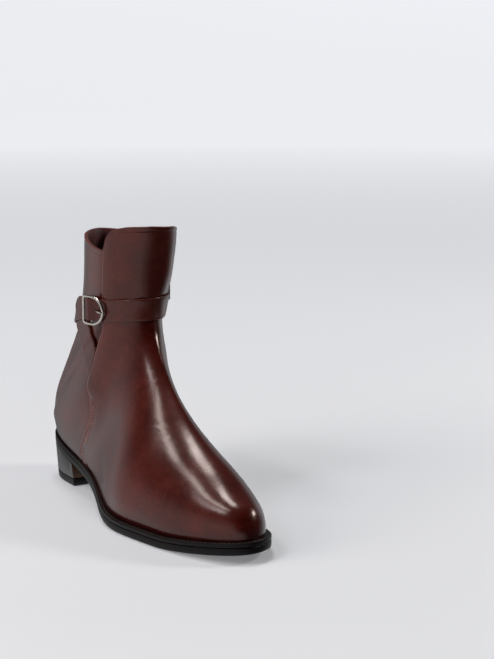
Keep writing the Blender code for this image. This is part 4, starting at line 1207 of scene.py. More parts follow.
    def relief(self, points: Array, tau: Array) -> Array:
        """Height of the leather over the smooth last: lap, seams, zip recess and creases."""
        z = points[..., 2]
        lap = self.lap_distance(points)
        is_lateral = tau < 0
        fade = (1 - ease(0.5, self.lap_fade, lap)) * ease(0, 8, z - self.sole.feather_z(points[..., 1]))
        height = is_lateral * table_value(LAP_RISE, z) * table_value(LAP_EDGE, lap) * fade
        behind = is_lateral * (lap < 0)
        height = height - self.lap_press * behind * bell(lap, 3.0)

        # Under the buckle the vamp stands off the quarter, which leaves a three-cornered gap; painted shade
        # darkens it
        height = height - self.gap_depth * behind * ease(100, 108, z) * ease(130, 126, z) * bell(lap, 6.0)

        # The two stitched rows of the lower lap sink in, and the leather swells between them
        sewn = ease(self.notch_z + 3, self.notch_z - 2, z) * (lap > 0.3) * is_lateral
        for row in self.seam_rows:
            height = height - self.seam_depth * sewn * bell(lap - row, 0.8)
        height = height + self.seam_swell * sewn * bell(lap - sum(self.seam_rows) / 2, 1.4)

        # A narrow bead runs below the top edge
        below = self.topline(polar(points)[0]) - z
        height = height - self.bead_depth * bell(below - self.bead_at, 0.55)

        # The zip lies in a recess between turned edges, with a sewn row on each side
        half = self.zip_half * np.clip((z - self.zip_foot_z) / ZIP_TAPER + 0.12, 0, 1)
        beside = np.abs(self.zip_distance(points)) - half
        is_medial = tau > 0
        height = height - self.zip_depth * (1 - ease(-0.35, 0.2, beside)) * (half > 0.7) * is_medial
        near_zip = is_medial * ease(self.zip_foot_z - 12, self.zip_foot_z, z)
        height = height + self.zip_swell * near_zip * bell(beside - 1.0, 0.9)
        height = height - self.zip_seam * near_zip * bell(beside - 2.4, 0.7)
        for crease in self.creases:
            height = height - crease.depth * bell(self.line_distance(points, crease.points), crease.width)
        return height

    @staticmethod
    def line_distance(points: Array, line: Sequence) -> Array:
        """Distance of every point from a line through given points."""
        nearest = np.full(points.shape[:-1], 1e9)
        for a, b in zip(line, line[1:]):
            start = np.array(a, float)
            run = np.array(b, float) - start
            share = np.clip(((points - start) @ run) / (run @ run), 0, 1)
            nearest = np.minimum(nearest, np.linalg.norm(points - start - share[..., None] * run, axis=-1))
        return nearest

    def feather_inside(self, foot: Array) -> Array:
        """Inner edge of the wall at the feather line, level with its outer edge."""
        middle = np.stack([self.sole.middle_x(foot[:, 1]), np.clip(foot[:, 1], 30, 215)], axis=1)
        return np.column_stack([foot[:, :2] + WALL * unit(middle - foot[:, :2]), foot[:, 2]])

    def build(self) -> list:
        """Makes the wall and its rows of stitches."""
        self.find_rim()
        tau = self.find_columns()
        t = self.row_t(tau)
        smooth = self.last.at(t, tau)
        normal = self.last.outward(t, tau)
        is_open = self.last.is_open(t[:, 0])
        closed = np.nonzero(~is_open)[0]
        outer = smooth + normal * self.relief(smooth, tau)[..., None]
        outer[closed, -1] = outer[closed, 0]
        self.outer = outer
        self.normal = normal

        # The inner face takes every fourth row, and meets the sole level with the outer one
        rows, columns = tau.shape
        first_closed = int(closed[0])
        kept = sorted({*range(0, first_closed, self.inner_step), *range(first_closed, rows, self.inner_step),
                       rows - 1})
        inner = smooth[kept] - WALL * normal[kept]
        flat_foot = (np.abs(tau[kept]) > 0.9999) & is_open[kept][:, None]
        inner[flat_foot] = self.feather_inside(smooth[kept][flat_foot])
        inner[0] = self.feather_inside(smooth[0])
        ring = ~is_open[kept]
        inner[ring, -1] = inner[ring, 0]

        # Three rows round the top edge, as share of the way inwards and rise
        upright = unit(smooth[-1] - smooth[-3])
        beads = [outer[-1] * (1 - share) + inner[-1] * share + upright * lift
                 for share, lift in self.rim_beads]
        grid = np.concatenate([outer, np.array(beads), inner[::-1]])
        faces = grid_faces(len(grid), columns)
        finish = np.zeros((len(grid) - 1, columns - 1), int)
        finish[rows - 1 : rows + 3] = 2
        finish[rows + 3 :] = 1
        low_edge = (len(grid) - 1) * columns
        faces += [(j, j + 1, low_edge + j + 1, low_edge + j) for j in range(columns - 1)]
        for i, (low, high) in enumerate(zip(kept, kept[1:])):
            if low < first_closed:
                for j in (0, columns - 1):
                    back = low_edge - i * columns + j
                    strip = [row * columns + j for row in range(low, high + 1)]
                    faces.append((*strip, back - columns, back))
        finish = [*finish.reshape(-1), *[1] * (len(faces) - finish.size)]
        rest = np.zeros((len(grid) - rows, columns))
        fields = {"fan_t": np.concatenate([t, rest]), "fan_tau": np.concatenate([tau, rest]),
                  "shell": np.concatenate([np.ones(t.shape), rest])}
        materials = [self.finishes.calf, self.finishes.lining, self.finishes.cut_edge]
        wall = mesh_piece("boot_upper", grid, faces, materials, finish, fields, 55.0)
        self.refine(wall)
        settle(wall, Body.BOOT, ["upper"])
        return [wall, *self.stitches()]

    def refine(self, wall: bpy.types.Object) -> None:
        """Subdivides the leather near the lap edge and the foot of the zip, and sets its relief again.

        Args:
            wall: The upper, whose points carry their place on the last.
        """
        shape = bmesh.new()
        shape.from_mesh(wall.data)
        for reach in self.refine_reach:
            t, tau, on_shell = self.places(shape)
            points = self.last.at(t, tau)
            z = points[:, 2]
            near = (tau < 0) & (np.abs(self.lap_distance(points)) < reach)
            if reach > self.wide_reach:
                foot = (np.abs(z - self.zip_foot_z - 3) < 2.0 * reach) & (tau > 0)
                near = near | (foot & (np.abs(self.zip_distance(points)) < 6.0))
                near = near | (self.topline(polar(points)[0]) - z < 4.5)
            near = near & on_shell
            ends = [(e, e.verts[0].index, e.verts[1].index) for e in shape.edges]
            edges = [e for e, a, b in ends if near[a] and near[b] and abs(tau[a] - tau[b]) < 1]
            bmesh.ops.subdivide_edges(shape, edges=edges, cuts=1, use_grid_fill=True)
            shape.verts.index_update()
        t, tau, on_shell = self.places(shape)
        smooth = self.last.at(t, tau)
        placed = to_world(smooth + self.last.outward(t, tau) * self.relief(smooth, tau)[:, None])
        # The painted shade, the wrinkles, and the cut edge with its painted highlight line are carried as
        # fields for the calf
        looks = {"painted_shade": self.painted_shade(smooth, tau), "wrinkle": self.wrinkle(smooth),
                 "edge": self.edge(smooth, tau)}
        layers = {key: shape.verts.layers.float.new(key) for key in looks}
        for vertex in shape.verts:
            if on_shell[vertex.index]:
                vertex.co = placed[vertex.index]
                for key, values in looks.items():
                    vertex[layers[key]] = values[vertex.index]
        bmesh.ops.recalc_face_normals(shape, faces=shape.faces)
        shape.to_mesh(wall.data)
        shape.free()

    @staticmethod
    def places(shape: bmesh.types.BMesh) -> tuple:
        """Place on the last of every point of the upper, and whether it is on the outer leather."""
        layer = shape.verts.layers.float
        rows = np.array([(v[layer["fan_t"]], v[layer["fan_tau"]], v[layer["shell"]]) for v in shape.verts])
        return rows[:, 0], np.clip(rows[:, 1], -1, 1), rows[:, 2] > 0.999

    def painted_shade(self, points: Array, tau: Array) -> Array:
        """How much painted shade darkens the leather: along the sole, behind the lap and in the gap under the
        buckle.
        """
        z = points[..., 2]
        lap = self.lap_distance(points)
        behind = (lap < -0.1) & (tau < 0)
        over = z - self.sole.feather_z(points[..., 1])
        # Painted shade along the sole, on the quarter under the lap edge, low on the heel counter and in the
        # gap under the buckle
        low = 0.5 * (1 - ease(0, 9, over))
        quarter = 0.75 * behind * bell(lap, 1.6)
        gap = behind * bell(lap, 7.0) * ease(103, 108, z) * ease(131, 127, z)
        counter = 0.2 * (1 - ease(10, 26, over)) * ease(80, 55, points[..., 1])
        return np.clip(low + quarter + counter + gap, 0, 0.97)

    def edge(self, points: Array, tau: Array) -> Array:
        """Where the pale cut edge of the vamp shows, bright where it is free and faint where it is sewn, with
        a painted highlight line over the sewn lower lap.
        """
        lap = self.lap_distance(points)
        z = points[..., 2]
        line = ease(-0.25, -0.05, lap) * ease(1.0, 0.45, lap) * table_value(LAP_PALE, z)
        # A painted highlight along a line over the sewn lower lap, below the notch
        second = 0.45 * bell(lap - self.highlight_row, 0.45) * ease(self.notch_z, self.notch_z - 4, z)
        return (line + second) * (tau < 0)

    @staticmethod
    def wrinkle(points: Array) -> Array:
        """Where the leather has fine wrinkles: the bend of the instep and the medial ankle."""
        amount = np.full(points.shape[:-1], 0.05)
        for middle, reach, strength in WRINKLES:
            amount = amount + strength * bell(np.linalg.norm(points - np.array(middle), axis=-1), reach)
        return np.clip(amount, 0, 1)

    def find_place(self, s: Array, z: Array, t: Array, tau: Array) -> tuple:
        """Places on the lateral side of the last with a given s and z, by Newton's steps from a guess."""
        dt = 0.2
        dtau = 0.002
        for _ in range(14):
            here = self.last.at(t, tau)[..., 1:]
            by_t = (self.last.at(t + dt, tau)[..., 1:] - here) / dt
            by_tau = (self.last.at(t, tau + dtau)[..., 1:] - here) / dtau
            miss = np.stack([s, z], axis=-1) - here
            det = by_t[..., 0] * by_tau[..., 1] - by_t[..., 1] * by_tau[..., 0]
            det = np.where(np.abs(det) < 1e-6, 1e-6, det)
            step_t = (miss[..., 0] * by_tau[..., 1] - miss[..., 1] * by_tau[..., 0]) / det
            step_tau = (by_t[..., 0] * miss[..., 1] - by_t[..., 1] * miss[..., 0]) / det
            t = np.clip(t + np.clip(step_t, -20, 20), 1.0, self.last.top)
            tau = np.clip(tau + np.clip(step_tau, -0.1, 0.1), -0.999, -0.02)
        return t, tau

    def sewn_path(self, offset: float) -> tuple:
        """Points and normals of the leather along the lap, at a distance in front of its edge."""
        z = np.linspace(self.seam_foot_z, self.notch_z - 1.5, 60)
        slope, length = self.lap_slope(z)
        s = self.lap_curve(z) + offset / length
        height = z - offset * slope / length
        t, tau = self.find_place(s, height, np.full(z.shape, 255.0), np.linspace(-0.95, -0.4, 60))
        smooth = self.last.at(t, tau)
        normal = self.last.outward(t, tau)
        over = smooth[:, 2] - self.sole.feather_z(smooth[:, 1]) > 2.0
        path = smooth + normal * self.relief(smooth, tau)[:, None]
        return path[over], normal[over]

    def zip_path(self, offset: float) -> tuple:
        """Points and normals of the leather along the zip, at a distance from its middle."""
        column = self.zip_column + self.zip_offsets.index(offset)
        path = self.outer[:, column]
        low, high = self.zip_rows_z
        part = (path[:, 2] >= low) & (path[:, 2] <= high)
        return path[part], self.normal[part, column]

    def stitches(self) -> list:
        """Sewn rows of the lower lap and of the zip."""
        paths = {f"lap_stitches_{offset:.0f}": self.sewn_path(offset) for offset in self.seam_rows}
        for offset in self.zip_rows:
            end = "front" if offset < 0 else "rear"
            paths[f"zip_stitches_{end}_{abs(offset):.0f}"] = self.zip_path(offset)
        return [settle(stitch_row(name, *path, FINE_STITCH, self.finishes.thread), Body.BOOT)
                for name, path in paths.items()]


@dataclass
class StrapAssembly:
    """The three straps that wrap the ankle."""

    last: LastForm
    finishes: Finishes
    width: float = 15.5
    thick: float = 1.5
    seat: float = 0.35
    round_edge: float = 0.4
    point_length: float = 7.5
    zip_stop: float = 5.5
    carrier_zip_z: float = 80.0
    lap_clear: float = 0.4
    lap_line: tuple = ((-66.0, 83.5), (-53.0, 108.0))
    lap_middle: tuple = (-59.0, 96.0)
    stations: int = 260
    rear_stations: int = 240
    flat_points: int = 11
    edge_faces: tuple = (11, 12, 13, 25, 26, 27)

    def section(self, half: float) -> Array:
        """Cross section as (across, height) round a strip, with rounded edges."""
        r = min(self.round_edge, half * 0.6)
        flat = half - r
        across = np.linspace(-1, 1, self.flat_points)
        top = [(share * flat, self.thick) for share in across]
        right = [(flat + 0.7 * r, self.thick - 0.3 * r), (half, self.thick - r), (half, r),
                 (flat + 0.7 * r, 0.3 * r)]
        bottom = [(share * flat, 0.0) for share in across[::-1]]
        left = [(-x, h) for x, h in reversed(right)]
        return np.array(top + right + bottom + left)

    def strip(self, name: str, route: Sequence[StrapPoint], stations: int,
              pointed: bool = False) -> bpy.types.Object:
        """Lofts one strap along its route.

        Args:
            name: Name of the piece.
            route: Points of its route.
            stations: Number of sections.
            pointed: Whether its last end is cut to a point.

        Returns:
            The strap.
        """
        turned = np.cumsum([0] + [abs(b.angle - a.angle) for a, b in zip(route, route[1:])])
        rows = natural_spline(turned, route)(np.linspace(0, turned[-1], stations))
        middle, normal = self.last.round_frame(rows[:, 0], rows[:, 1])
        across = unit(np.cross(normal, unit(np.gradient(middle, axis=0))))
        half = np.full(stations, self.width / 2)
        if pointed:
            along = arc_length(middle)
            left = (along[-1] - along) / self.point_length
            half = np.where(left < 1, half * np.clip(0.10 + 0.90 * left**0.62, 0, 1), half)
        loops = np.array([self.section(h) for h in half])
        line = middle[:, None] + across[:, None] * loops[..., 0:1]
        skin, face = self.last.round_frame(polar(line)[0], line[..., 2])
        lift = self.seat + np.maximum(rows[:, 2], 0)[:, None]
        points = skin + face * (lift + loops[..., 1])[..., None]
        count = loops.shape[1]
        finish = np.zeros((stations - 1, count), int)
        # Side faces take the strap edge colour, partly its edge paint and partly painted highlight
        finish[:, self.edge_faces] = 1
        blank = np.zeros(stations * count)
        return mesh_piece(name, points, tube_faces(stations, count),
                          [self.finishes.strap, self.finishes.strap_edge_and_highlight], [*finish.reshape(-1), 1, 1],
                          {"painted_shade": blank, "wrinkle": blank}, 50.0)

    def stop_at_zip(self, piece: bpy.types.Object, z: float, side: int) -> None:
        """Cuts a strap along the zip, with side -1 for a strap in front of it and 1 for one behind."""
        middle, normal = self.last.round_frame(ZIP_ANGLE, z)
        across = unit(np.cross(normal, UP))
        if across[1] * side > 0:
            across = -across
        bisect_piece(piece, middle + across * self.zip_stop, -across, Side.MEDIAL)

    def stop_at_lap(self, piece: bpy.types.Object) -> None:
        """Cuts the rear strap just behind the edge of the vamp."""
        low, high = [self.last.round_at(*place) for place in self.lap_line]
        _, outward = self.last.round_frame(*self.lap_middle)
        away = unit(np.cross(high - low, outward))
        if away[1] < 0:
            away = -away
        bisect_piece(piece, low - away * self.lap_clear, away, Side.LATERAL)

    def build(self) -> list:
        """Makes the straps, cut at the zip and, for the rear strap, along the lap."""
        front = self.strip("ankle_strap_band", ANKLE_STRAP, self.stations, pointed=True)
        self.stop_at_zip(front, ANKLE_STRAP[0].z, -1)
        rear = self.strip("rear_strap_band", REAR_STRAP, self.rear_stations)
        self.stop_at_zip(rear, REAR_STRAP[0].z, 1)
        self.stop_at_lap(rear)
        carrier = self.strip("buckle_strap_band", BUCKLE_STRAP, self.stations)
        self.stop_at_zip(carrier, self.carrier_zip_z, 1)
        return [settle(piece, Body.BOOT, [node]) for piece, node in (
            (front, "ankle_strap"), (rear, "rear_strap"), (carrier, "buckle_strap"))]


@dataclass
class BuckleAssembly:
    """D-shaped buckle with its bar and its prong."""

    last: LastForm
    finishes: Finishes
    angle: float = -55.5
    z: float = 135.2
    lift: float = 6.05
    tilt: float = 8.5
    half_length: float = 9.7
    half_height: float = 9.5
    straight: float = 0.42
    wire: float = 2.1
    corner: float = 2.2
    bar_wire: float = 1.6
    bar_at: float = 3.0
    bar_drop: float = 1.75
    prong_wire: float = 1.7
    prong_start: tuple = (1.2, 0.0, -2.4)
    prong_run: tuple = (-12.1, 0.0, 5.15)
    prong_bow: float = 0.5

    def place(self) -> None:
        """Finds the buckle's own middle and directions."""
        middle, outward = self.last.round_frame(self.angle, self.z)
        back = unit(np.cross(UP, outward))
        tilt = math.radians(self.tilt)
        back, outward = (back * math.cos(tilt) + outward * math.sin(tilt),
                         outward * math.cos(tilt) - back * math.sin(tilt))
        self.directions = np.array([back, np.cross(outward, back), outward])
        self.middle = middle + outward * self.lift

    def wire_piece(self, name: str, points: Sequence, thick: Array, closed: bool) -> bpy.types.Object:
        """A round wire along a path, drawn as a curve and made a mesh.

        Args:
            name: Name of the piece.
            points: Path in the buckle's own directions.
            thick: Thickness of the wire, one for all or one for each point.
            closed: Whether the path is a loop.

        Returns:
            The wire.
        """
        path = to_world(self.middle + np.asarray(points, float) @ self.directions)
        line = np.column_stack([path, np.broadcast_to(thick, len(path)) / 2])
        made = curve_mesh(name, [line.tolist()], closed, {
            "dimensions": "3D", "bevel_depth": MM, "bevel_resolution": 4, "use_fill_caps": True})
        made.data.shade_smooth()
        made.data.materials.append(self.finishes.nickel)
        return made

    def frame_path(self) -> list:
        """Middle line of the frame: straight at the rear, round at the front."""
        start = self.half_length - 2 * self.half_length * self.straight
        across = self.half_length - self.corner
        up = self.half_height - self.corner
        # Arcs of the outline, as middle, half sizes, turn at both ends and number of points
        arcs = (((across, up), (self.corner, self.corner), (0, 90), 7),
                ((start, 0.0), (self.half_length + start, self.half_height), (90, 270), 41),
                ((across, -up), (self.corner, self.corner), (270, 360), 7))
        return [(x + a * math.cos(turn), y + b * math.sin(turn), 0.0) for (x, y), (a, b), ends, count in arcs
                for turn in np.radians(np.linspace(*ends, count))]

    def build(self) -> list:
        """Makes the frame with its bar, and the prong."""
        self.place()
        loop = self.wire_piece("buckle_wire", self.frame_path(), self.wire, True)
        heights = np.linspace(-self.half_height, self.half_height, 9)
        bar_path = [(self.bar_at, y, -self.bar_drop) for y in heights]
        bar = self.wire_piece("buckle_cross_bar", bar_path, self.bar_wire, False)
        select_only(loop)
        bar.select_set(True)
        bpy.ops.object.join()
        share = np.linspace(0, 1, 15)
        tongue = self.prong_start + share[:, None] * self.prong_run
        tongue[:, 2] += self.prong_bow * np.sin(share * math.pi)
        taper = np.interp(share, [0, 0.75, 0.97, 1], [1, 1, 0.8, 0.5])
        prong = self.wire_piece("buckle_tongue", tongue, self.prong_wire * taper, False)
        return [settle(loop, Body.BOOT, ["buckle_frame"]),
                settle(prong, Body.BOOT, ["buckle_prong"])]


@dataclass
class ZipAssembly:
    """Zip tape, its closed chain, the slider, and the pull on its hinge."""

    last: LastForm
    finishes: Finishes
    tape_half: float = 4.2
    tape_face: float = -0.75
    tape_back: float = -1.6
    foot_z: float = 42.0
    top_z: float = 174.5
    chain_top_z: float = 163.5
    tooth: tuple = (1.55, 0.5, 0.75)
    tooth_bevel: float = 0.28
    tooth_pitch: float = 1.45
    tooth_shift: float = 0.85
    tooth_lift: float = 0.72
    slider_z: float = 169.5
    slider_length: float = 11.0
    slider_width: float = 7.6
    slider_thick: float = 2.6
    slider_sink: float = 0.5
    slider_narrow: float = 0.7
    slider_bevel: float = 0.6
    bridge_bevel: float = 0.25
    bridge_half: float = 1.2
    bridge_thick: float = 1.2
    bridge_clear: float = 0.45
    pin_radius: float = 0.8
    pin_at: float = 1.2
    pull_width: float = 6.4
    pull_length: float = 36.0
    pull_thick: float = 1.5
    pull_bevel: float = 0.22
    pull_rim: float = 1.5
    pull_head: float = 0.5
    pull_corner: float = 2.0
    eye_ends: tuple = (-6.0, -1.0)
    slot_ends: tuple = (5.0, 14.0)

    def line(self, z: Array) -> tuple:
        """Middle, outward and sideways directions along the zip."""
        middle, normal = self.last.round_frame(ZIP_ANGLE, z)
        return middle, normal, unit(np.cross(UP, normal))

    def tape(self) -> bpy.types.Object:
        """The woven tape as a thin strip with a pointed foot."""
        full_z = self.foot_z + ZIP_TAPER
        z = np.concatenate([[self.foot_z, self.foot_z + 3], np.linspace(full_z, self.top_z, 90)])
        middle, normal, across = self.line(z)
        half = self.tape_half * np.clip((z - self.foot_z) / ZIP_TAPER + 0.12, 0, 1)
        face = middle[:, None] + across[:, None] * (half[:, None] * np.linspace(-1, 1, 13))[..., None]
        top = face + normal[:, None] * self.tape_face
        back = face + normal[:, None] * self.tape_back
        loop = np.concatenate([top, back[:, ::-1]], axis=1)
        return mesh_piece("zip_web", loop, tube_faces(*loop.shape[:2]), [self.finishes.tape])

    def chain(self) -> bpy.types.Object:
        """Teeth from both sides, copied from one beveled block."""
        block = beveled_box(tuple(-c for c in self.tooth), self.tooth, self.tooth_bevel, 1)
        z = np.arange(self.foot_z + 4, self.chain_top_z, self.tooth_pitch)
        middle, normal, across = self.line(z)
        shift = np.where(np.arange(len(z)) % 2 == 0, -self.tooth_shift, self.tooth_shift)
        start = middle + across * shift[:, None] + normal * (self.tape_face + self.tooth_lift)
        axes = (across, unit(np.cross(normal, across)), normal)
        return copies("zip_teeth", block, start, axes, self.finishes.teeth)

    def own_frame(self) -> None:
        """Directions of the slider, and of the pull that hangs from its pin."""
        self.middle, outward, _ = self.line(self.slider_z)
        up = unit(UP - outward * outward[2])
        side = np.cross(up, outward)
        self.directions = np.array([side, up, outward])
        self.low_face = GAP - self.slider_sink
        self.face = self.low_face + self.slider_thick
        self.pin = self.placed([0, self.pin_at, self.face + self.bridge_clear + self.pin_radius])
        plumb = np.cross(side, UP)
        self.plumb = np.array([side, UP, plumb if np.dot(plumb, outward) > 0 else -plumb])

    def placed(self, points: Sequence) -> Array:
        """Boot points from points in the slider's own directions."""
        return self.middle + np.asarray(points, float) @ self.directions

    def hung(self, points: Sequence) -> Array:
        """Boot points from points in the pull's own directions."""
        return self.pin + np.asarray(points, float) @ self.plumb

    def slider(self) -> bpy.types.Object:
        """Slider plate with its bridge."""
        half_w = self.slider_width / 2
        half_l = self.slider_length / 2
        half_b = self.bridge_half
        room = self.pin_radius + self.bridge_clear
        root = self.face - 0.5
        under = self.face + 2 * room
        top = under + 1.0
        near = self.pin_at + room
        far = self.pin_at - room
        parts = (beveled_box((-half_w, -half_l, self.low_face), (half_w, half_l, self.face),
                             self.slider_bevel, narrow=self.slider_narrow),
                 beveled_box((-half_b, near, root), (half_b, near + self.bridge_thick, top),
                             self.bridge_bevel),
                 beveled_box((-half_b, far - self.bridge_thick, root), (half_b, far, top),
                             self.bridge_bevel),
                 beveled_box((-half_b, far - self.bridge_thick, under),
                             (half_b, near + self.bridge_thick, top), 0.3))
        points = []
        faces = []
        for spots, own in parts:
            faces += [tuple(k + len(points) for k in face) for face in own]
            points += list(self.placed(spots))
        return mesh_piece("zip_slider_body", points, faces, [self.finishes.dark_nickel], sharp=30.0)

    def pull(self) -> bpy.types.Object:
        """Long flat pull with an eye, drawn as a filled outline with a hole, and its pin."""
        half = self.pull_width / 2
        bevel = self.pull_bevel
        foot = -self.pull_length
        rim = half - self.pull_rim - bevel
        # Outline, eye and slot, each as its least and greatest x and y and the radius of its corners
        rings = ((bevel - half, foot + bevel, half - bevel, self.pull_head, self.pull_corner),
                 (-rim, self.eye_ends[0] + bevel, rim, self.eye_ends[1], 0.8),
                 (-1.0, foot + self.slot_ends[0], 1.0, foot + self.slot_ends[1], 0.9))
        lines = [[(x * MM, y * MM, 0.0, 1.0) for x, y in self.rounded(*ring)] for ring in rings]
        drawn = curve_mesh("zip_puller", lines, True, {
            "dimensions": "2D", "fill_mode": "BOTH", "extrude": (self.pull_thick / 2 - bevel) * MM,
            "bevel_depth": bevel * MM, "bevel_resolution": 2})
        local, faces = take_mesh(drawn)
        turns = np.radians(np.arange(0, 360, 22.5))
        pin = [(x, self.pin_radius * math.cos(a), self.pin_radius * math.sin(a))
               for x in (0.2 - half, half - 0.2) for a in turns]
        faces += [tuple(len(local) + k for k in face) for face in tube_faces(2, len(turns))]
        points = self.hung(np.concatenate([local / MM, pin]))
        return mesh_piece("zip_puller", points, faces, [self.finishes.nickel], sharp=35.0)

    @staticmethod
    def rounded(x0: float, y0: float, x1: float, y1: float, radius: float) -> list:
        """Outline of a rectangle with round corners."""
        corners = ((x1 - radius, y1 - radius, 0), (x0 + radius, y1 - radius, 90),
                   (x0 + radius, y0 + radius, 180), (x1 - radius, y0 + radius, 270))
        return [(x + radius * math.cos(turn), y + radius * math.sin(turn)) for x, y, start in corners
                for turn in np.radians(np.linspace(start, start + 90, 7))]

    def build(self) -> list:
        """Makes the tape, the teeth, the slider and the pull."""
        self.own_frame()
        return [settle(self.tape(), Body.BOOT, ["zip_tape"]),
                settle(self.chain(), Body.BOOT),
                settle(self.slider(), Body.BOOT, ["zip_slider"]),
                settle(self.pull(), Body.PULL, ["zip_pull"])]


@dataclass
class SoleAssembly:
    """Outsole, welt with its sewn row, sock, and the heel with its top lift."""

    sole: SoleForm
    finishes: Finishes
    points: int = 420
    shares: tuple = (1.0, 0.75, 0.5, 0.25, 0.1)
    end_round: float = 24.0
    edge_bulge: float = 0.12
    channel_at: float = 1.55
    channel_depth: float = 0.3
    stitch_sink: float = 0.22
    sewn_from_s: float = 62.0
    sock_inset: float = 3.4
    sock_thick: float = 1.4
    heel_taper: float = 1.6
    heel_turns: int = 121
    breast_points: int = 42
    breast_bow: float = 0.72
    breast_corner: float = 0.24
    lift_thick: float = 5.5

    def loop(self, distance: Array, level: Curve, drop: float, share: float = 0.0) -> Array:
        """Points round the sole at a level.

        Args:
            distance: Inset of the outline.
            level: Height along s.
            drop: Added to that height.
            share: Share of the way from the outline to the middle line of the sole.

        Returns:
            One boot point for each point of the outline.
        """
        spot = inset(self.ring, distance)
        if share:
            lateral, medial, start, end = two_sides(spot)
            s = np.clip(spot[:, 0], start + self.end_round, end - self.end_round)
            spot = spot + (np.stack([s, (lateral(s) + medial(s)) / 2], axis=1) - spot) * share
        return np.column_stack([spot[:, 1], spot[:, 0], level(spot[:, 0]) + drop])

    def plate(self, name: str, low: Curve, high: Curve, distance: float, finishes: Sequence,
              edge: float) -> bpy.types.Object:
        """A sole-shaped plate with rounded edges.

        Args:
            name: Name of the piece.
            low: Level of its lower face along s.
            high: Level of its upper face along s.
            distance: Inset of its outline.
            finishes: Materials of the edge and top, and of the underside.
            edge: Radius of its edges.

        Returns:
            The plate.
        """

        def middle(s: Array) -> Array:
            """Level half way between both faces."""
            return (high(s) + low(s)) / 2

        flat = distance + edge
        near = distance + 0.3 * edge
        sections = [(flat, high, 0.0, share) for share in self.shares]
        sections += [(flat, high, 0.0), (near, high, -0.3 * edge), (distance, high, -edge),
                     (distance - self.edge_bulge, middle, 0.0), (distance, low, edge),
                     (near, low, 0.3 * edge), (flat, low, 0.0)]
        sections += [(flat, low, 0.0, share) for share in reversed(self.shares)]
        grid = np.array([self.loop(*section) for section in sections])
        finish = np.zeros((len(grid) - 1, self.points), int)
        finish[-len(self.shares) :] = len(finishes) - 1
        faces = grid_faces(len(grid), self.points, wrap=True)
        return mesh_piece(name, grid, faces, finishes, finish, sharp=60.0)

    def welt(self) -> list:
        """Welt strip with a channel on its upper face, and the stitches in it."""
        reveal = table_value(WELT_REVEAL, self.ring[:, 0])
        low = self.sole.welt_low
        high = self.sole.welt_top
        inner = reveal + WALL + UNDER_WALL
        channel = np.minimum(self.channel_at, reveal * 0.5)
        floor = -self.channel_depth
        sections = ((0.3, low, 0.0), (0.0, low, 0.35), (0.0, high, -0.5), (0.2, high, -0.12),
                    (0.5, high, 0.0), (channel - 0.45, high, 0.0), (channel - 0.2, high, floor),
                    (channel + 0.2, high, floor),
                    (channel + 0.45, high, 0.0), (np.maximum(reveal - 0.2, channel + 0.6), high, 0.0),
                    (inner, high, 0.0), (inner, low, 0.0), (0.3, low, 0.0))
        grid = np.array([self.loop(*section) for section in sections])
        faces = grid_faces(len(grid), self.points, wrap=True)
        strip = mesh_piece("welt_strip", grid, faces, [self.finishes.sole], sharp=50.0)
        sewn = self.loop(channel, high, -self.stitch_sink)
        front = sewn[:, 1] > self.sewn_from_s
        path = np.roll(sewn, -int(np.argmax(front & ~np.roll(front, 1))), axis=0)[: front.sum()]
        stitches = stitch_row("welt_stitches", path, np.tile(UP, (len(path), 1)), WELT_STITCH,
                              self.finishes.welt_thread)
        return [settle(strip, Body.BOOT, ["welt"]),
                settle(stitches, Body.BOOT)]

    def heel_loop(self, distance: float, s_end: float) -> Array:
        """Outline of the heel from above: round at the back, straight across the breast."""
        lateral, medial, start, _ = two_sides(inset(self.sole.outline, distance))
        turn = np.linspace(0, math.pi, self.heel_turns)
        back = start + (s_end - start) * (1 - np.sin(turn))
        x = np.where(np.arange(self.heel_turns) <= self.heel_turns // 2, lateral(back), medial(back))
        back[[0, -1]] -= self.breast_corner
        across = np.linspace(x[-1], x[0], self.breast_points)
        bow = self.breast_bow * np.sin(np.linspace(0, math.pi, self.breast_points))
        breast = np.column_stack([s_end - bow, across])[1:-1]
        return np.concatenate([np.column_stack([back, x]), breast])

    def heel_piece(self, name: str, layers: Sequence, finishes: Sequence) -> bpy.types.Object:
        """A stack of heel outlines closed at both ends.

        Args:
            name: Name of the piece.
            layers: Inset, level, rise and shortening of each outline, from the top down.
            finishes: Materials of the wall and of the breast.

        Returns:
            The piece.
        """
        loops = []
        for distance, level, rise, shrink in layers:
            ring = self.heel_loop(distance, self.sole.heel_length - shrink)
            loops.append(np.column_stack([ring[:, 1], ring[:, 0], level(ring[:, 0]) + rise]))
        grid = np.array(loops)
        count = grid.shape[1]
        last = self.heel_turns - 1
        faces = grid_faces(len(grid), count, wrap=True)
        finish = np.zeros((len(grid) - 1, count), int)
        finish[:, last:] = 1
        for first in (0, (len(grid) - 1) * count):
            end = first + last
            faces += [(first + k, first + k + 1, end - 1 - k, end - k) for k in range(last // 2)]
            faces.append((*range(end, first + count), first))
        finish = [*finish.reshape(-1), *[0] * (len(faces) - finish.size)]
        return mesh_piece(name, grid, faces, finishes, finish, sharp=45.0)

    def heel(self) -> list:
        """Stacked block and the rubber top lift."""
        seat = self.sole.heel_seat
        floor = np.zeros_like
        thick = self.lift_thick
        low = thick + GAP
        taper = self.heel_taper
        block = self.heel_piece("heel_stack", (
            (0.7, seat, 0.0, 0.4), (0.3, seat, -0.5, 0.0), (taper - 0.1, floor, low + 0.5, 0.0),
            (taper + 0.3, floor, low, 0.4)), [self.finishes.heel, self.finishes.breast])
        lift = self.heel_piece("heel_rubber", (
            (taper + 0.3, floor, thick, 0.4), (taper, floor, thick - 0.4, 0.0),
            (taper + 0.35, floor, 0.6, 0.0), (taper + 0.9, floor, 0.0, 0.6)), [self.finishes.rubber] * 2)
        return [settle(block, Body.BOOT, ["heel_block"]),
                settle(lift, Body.BOOT, ["heel_top_lift"])]

    def sock_top(self, s: Array) -> Array:
        """Height of the upper face of the sock."""
        return self.sole.welt_top(s) + self.sock_thick

